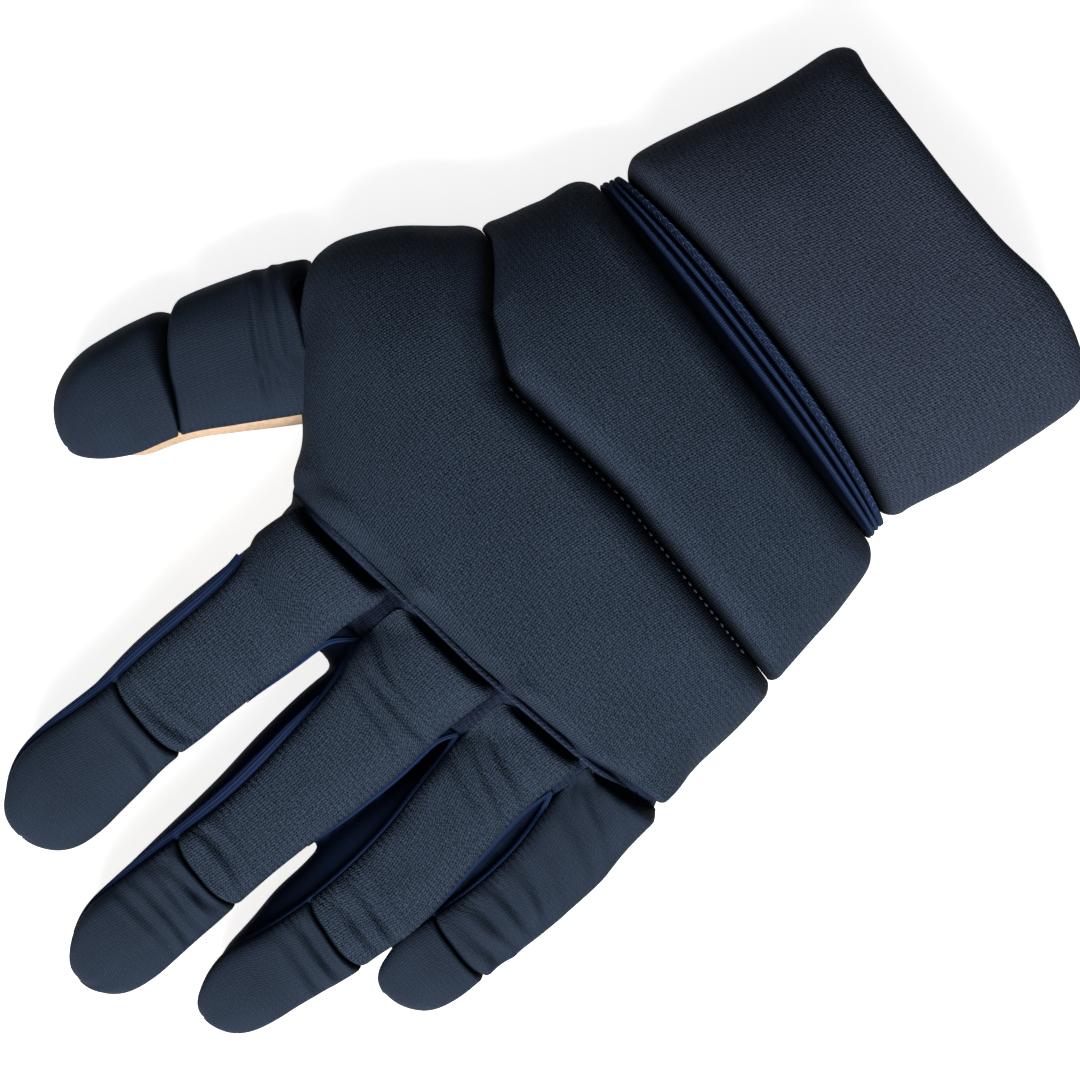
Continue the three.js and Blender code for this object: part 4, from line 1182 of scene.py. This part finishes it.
def band_profile(angles):
    """The elastic band's section, with three ridges on the back of the wrist."""
    angle = angles[:, None]
    v = np.linspace(0, 1, 81)[None]
    height = np.zeros(v.shape)
    for low, high in BAND_RIDGES:
        t = np.clip((v - low) / (high - low), 0, 1)
        height = np.maximum(height, np.sqrt(np.maximum(1 - (2 * t - 1) ** 2, 0)))
    height = height - 0.3 * np.exp(-((v - 0.82) / 0.07) ** 4)
    y = BAND_START + (band_end(angle) - BAND_START) * v
    edge = rounded(np.minimum(v, 1 - v) * BAND_WIDTH, 1.0)
    gathers = 0.12 * np.sin(np.radians(angle) * 90 + 2 * np.sin(np.radians(angle) * 7)) * height
    side = smooth(np.abs(angle), 46, 78)
    stand = 0.2 + 3.4 * side + (4.2 - 3.8 * side) * height + gathers
    outer = band_point(y, angle, 0.3 + stand * np.maximum(edge, 0.3))
    inner = band_point(y, angle, 0.3)
    # Painted shade: the colour darkens between and beside the ridges, the more the lower the band stands
    # there.
    painted_shade = np.concatenate([1 - height + 0 * angle, 0 * inner[:, ::-8, 0]], 1)
    return np.concatenate([outer, inner[:, ::-8]], 1), np.clip(painted_shade, 0, 1)


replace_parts(ring_piece("wrist_band", band_profile, 320, ELASTIC, "blue_elastic"), "wrist_band")


# Trims: knuckle welt, blue rims of the side panels, stitches

def strand(path, radius, sides=10, flat=1.0):
    """A smooth cord along a path. radius is one number, or several spread over the cord's length."""
    path = soften(resample(path, 0.7), 3)
    if np.ndim(radius):
        radius = np.interp(np.linspace(0, 1, len(path)), np.linspace(0, 1, len(radius)), radius)
    return tube(path, radius, sides, flat)


def laid(tree, x, y, lift):
    """Points that lie a little above a surface."""
    x, y = np.asarray(x, float), np.asarray(y, float)
    return np.stack([x, y, height_on(tree, x, y) + lift], -1)


def sewn(name, parts, material, slot):
    """One piece made from several parts."""
    return build(name, *merge_parts(parts), material, slot)


def welt():
    """The cord-like welt along the knuckle seam, with its stitches."""
    x = np.linspace(-66, 38.5, 150)
    y = seam_y(KNUCKLE_SEAM, x) + 0.7 + 0.5 * smooth(x, -5, 12)
    radius = (0.75 + 0.5 * smooth(x, -5, 12)) * smooth(np.abs(x + 13.7), 53, 46)
    path = laid(SHELL_TREE, x, y, 0.6)
    path[:, 2] = np.convolve(np.pad(path[:, 2], 6, "edge"), np.ones(13) / 13, "valid")
    sewn("knuckle_welt", [strand(path, np.maximum(radius, 0.15), 12, 0.8)], WELT, "navy_knit")
    along = path[8:-8] + (0, 0.2, 0.8)
    sewn("welt_stitches", [stitches(along, length=0.7, pitch=1.7, radius=0.15)], THREAD, "navy_knit")


def pad_side(f, side, first, last, out, drop):
    """The line along which a finger's pads reach furthest to one side, in plan."""
    sign = 1 if side else -1
    rows = []
    for outside, share in f.surface:
        x, y, dx, dy = on_line(f, share)
        reach = ((outside[..., 0] - x) * dy - (outside[..., 1] - y) * dx) * sign
        i, j = reach.argmax(0), np.arange(share.shape[1])
        share, dx, dy = share[i, j], dx[i, j], dy[i, j]
        step = sign * out * (0.2 + 0.8 * smooth(share, 0.96, 0.72))
        line = outside[i, j] + np.stack([dy * step, -dx * step, 0 * i - drop], -1)
        rows.append(line[(share > first) & (share < last)])
    return np.concatenate(rows)


def rim(f, side, vertex, first, last, radius, out=0.15, drop=0.9, flat=1.0):
    """A blue rim along one side of a finger's pads, starting at the inner corner of a side panel."""
    path = soften(resample(pad_side(f, side, first, last, out, drop), 1.0), 8)
    if vertex:
        corner = laid(SHELL_TREE, [vertex[0]], [vertex[1]], 0.5)
        path = soften(resample(np.concatenate([corner, path]), 1.0), 6)
    return strand(path, radius, 10, flat)


def side_rims():
    """Wide flat rims on the thumb's side of two fingers, thin ones round the gaps between the fingers."""
    for f, first, last, out, drop, radius in (
        (INDEX, 0.2, 0.975, 1.1, 1.0, (1.4, 2, 2, 2, 2, 1.6, 1.3, 1.0, 0.6, 0.2)),
        (MIDDLE, 0.27, 0.965, 1.0, 1.1, (0.3, 1.6, 2, 2, 1.8, 1.4, 1.0, 0.7, 0.2)),
    ):
        part = rim(f, 1, None, first, last, radius, out, drop, 0.55)
        # These wide rims show the side panels' cloth in a lighter copy of its colour: painted light, so
        # they look lit.
        sewn(f.name + "_side_rim", [part], PANEL_PAINTED_LIT, "blue_stretch")
    gaps = {
        "index_middle_rims": ((1, 60), (INDEX, 0.15, 0.42, (0.6, 0.9, 0.8, 0.6, 0.1)),
                              (MIDDLE, 0.19, 0.4, (0.6, 0.9, 0.9, 0.6, 0.1))),
        "middle_ring_rims": ((-31.5, 55), (MIDDLE, 0.14, 0.5, (0.6, 0.85, 0.85, 0.7, 0.1)),
                             (RING, 0.2, 0.95, (0.6, 0.85, 0.85, 0.8, 0.8, 0.6, 0.1))),
        "ring_little_rims": ((-56, 45.5), (RING, 0.14, 0.5, (0.6, 0.8, 0.7, 0.5, 0.1)),
                             (LITTLE, 0.26, 0.85, (0.6, 0.85, 0.85, 0.8, 0.6, 0.1))),
    }
    for name, (vertex, *edges) in gaps.items():
        parts = [rim(f, side, vertex, *sizes) for side, (f, *sizes) in enumerate(edges)]
        sewn(name, parts, PIPING, "blue_stretch")


def stitches(path, length, pitch, radius, side=0.0):
    """Short threads along a path, each a thin bead that dips into the cloth at both ends."""
    path = resample(path, pitch)
    parts = []
    for a, b in zip(path[:-1], path[1:]):
        way = (b - a) / np.linalg.norm(b - a)
        across = np.array([way[1], -way[0], 0]) * side
        t = np.linspace(-0.5, 0.5, 5)[:, None]
        line = (a + b) / 2 + way * length * t + across * t
        line[:, 2] += radius * (0.6 - 5 * t[:, 0] ** 2)
        parts.append(tube(line, radius * np.array([0.5, 0.9, 1, 0.9, 0.5]), 6))
    return merge_parts(parts)


def seam_stitches():
    """Stitches along the wrist seam, on the edge of the knuckle pad."""
    x = np.linspace(-58, 27, 160)
    pad = bpy.data.objects["knuckle_pad_cover"].data
    path = laid(tree_of(corners(pad) * 1000, pad), x, seam_y(WRIST_SEAM, x) + 0.7, 0.1)
    sewn("back_seam_stitches", [stitches(soften(path, 4), length=1.05, pitch=2.2, radius=0.26)],
         THREAD, "navy_knit")


def band_stitches():
    """Two rows of slanting stitches along the band's last ridge."""
    angle = np.linspace(-84, 84, 200)
    parts = []
    for share, side in ((0.78, 0.4), (0.87, -0.4)):
        y = BAND_START + (band_end(angle) - BAND_START) * share
        parts.append(stitches(band_point(y, angle, 3.9), length=0.9, pitch=2.1, radius=0.11, side=side))
    sewn("band_stitches", parts, BLUE_THREAD, "blue_elastic")


side_rims()
welt()
seam_stitches()
band_stitches()


# Camera, light and floor

# millimetres: the camera's sensor, its distance, and the width that the picture shows there
SENSOR = 36
CAMERA_AWAY = 1175
PICTURE_WIDTH = 259.2
camera = bpy.data.cameras.new("camera")
camera.sensor_width = SENSOR
camera.lens = SENSOR * CAMERA_AWAY / PICTURE_WIDTH
camera.clip_start = 0.05
holder = add_object("camera", camera)
holder.matrix_world = Matrix((
    (-0.607, 0.794, 0, -0.0066),
    (-0.794, -0.607, 0, 0.0111),
    (0, 0, 1, 1.2),
    (0, 0, 0, 1),
))
bpy.context.scene.camera = holder


# The floor glows: painted light that keeps it near white and leaves the glove's shadow on it faint.
def floor_material():
    g = Graph("pale_floor_painted_glow")
    place = g.local()
    tone = g.ramp(g.noise(place, 3.0), 0.3, 0.7)
    colour = g.mix(tone, (232, 232, 232), (238, 238, 238))
    return g.finish(colour, g.noise(place, 700.0), 0.00002, 0.8, Specular_IOR_Level=0.1,
                    Emission_Color=(1, 1, 1, 1), Emission_Strength=0.82)


def floor():
    bm = bmesh.new()
    bmesh.ops.create_grid(bm, x_segments=8, y_segments=8, size=3)
    mesh = bpy.data.meshes.new("floor")
    bm.to_mesh(mesh)
    bm.free()
    mesh.materials.append(floor_material())
    made = add_object("floor", mesh)
    made.location = (0, 0, -0.0004)
    # Diffuse light from the floor, its glow included, does not reach the glove.
    made.visible_diffuse = False


def area_light(name, place, size, watts):
    """A square light at a place in metres, turned to the part."""
    light = bpy.data.lights.new(name, "AREA")
    light.energy = watts
    light.size = size
    place = Vector(place)
    turned = place.to_track_quat("Z", "Y").to_matrix().to_4x4()
    add_object(name, light).matrix_world = Matrix.Translation(place) @ turned


def studio_walls(tree):
    """A white studio, brighter on the side of the key light."""
    place = tree.nodes.new("ShaderNodeTexCoord")
    toward = tree.nodes.new("ShaderNodeVectorMath")
    toward.operation = "DOT_PRODUCT"
    toward.inputs[1].default_value = (-0.58, 0.49, 0.65)
    tree.links.new(place.outputs["Generated"], toward.inputs[0])
    reach = tree.nodes.new("ShaderNodeMapRange")
    for name, value in (("From Min", 0.15), ("From Max", 1.0), ("To Min", 0.02), ("To Max", 0.45)):
        reach.inputs[name].default_value = value
    tree.links.new(toward.outputs["Value"], reach.inputs["Value"])
    tree.links.new(reach.outputs[0], tree.nodes["Background"].inputs["Strength"])


floor()
area_light("key", (-1.97, 1.62, 2.28), size=2.0, watts=190)
world = bpy.data.worlds.new("studio")
bpy.context.scene.world = world
world.use_nodes = True
world.node_tree.nodes["Background"].inputs["Color"].default_value = (1, 1, 1, 1)
studio_walls(world.node_tree)
bpy.context.scene.view_settings.view_transform = "Standard"
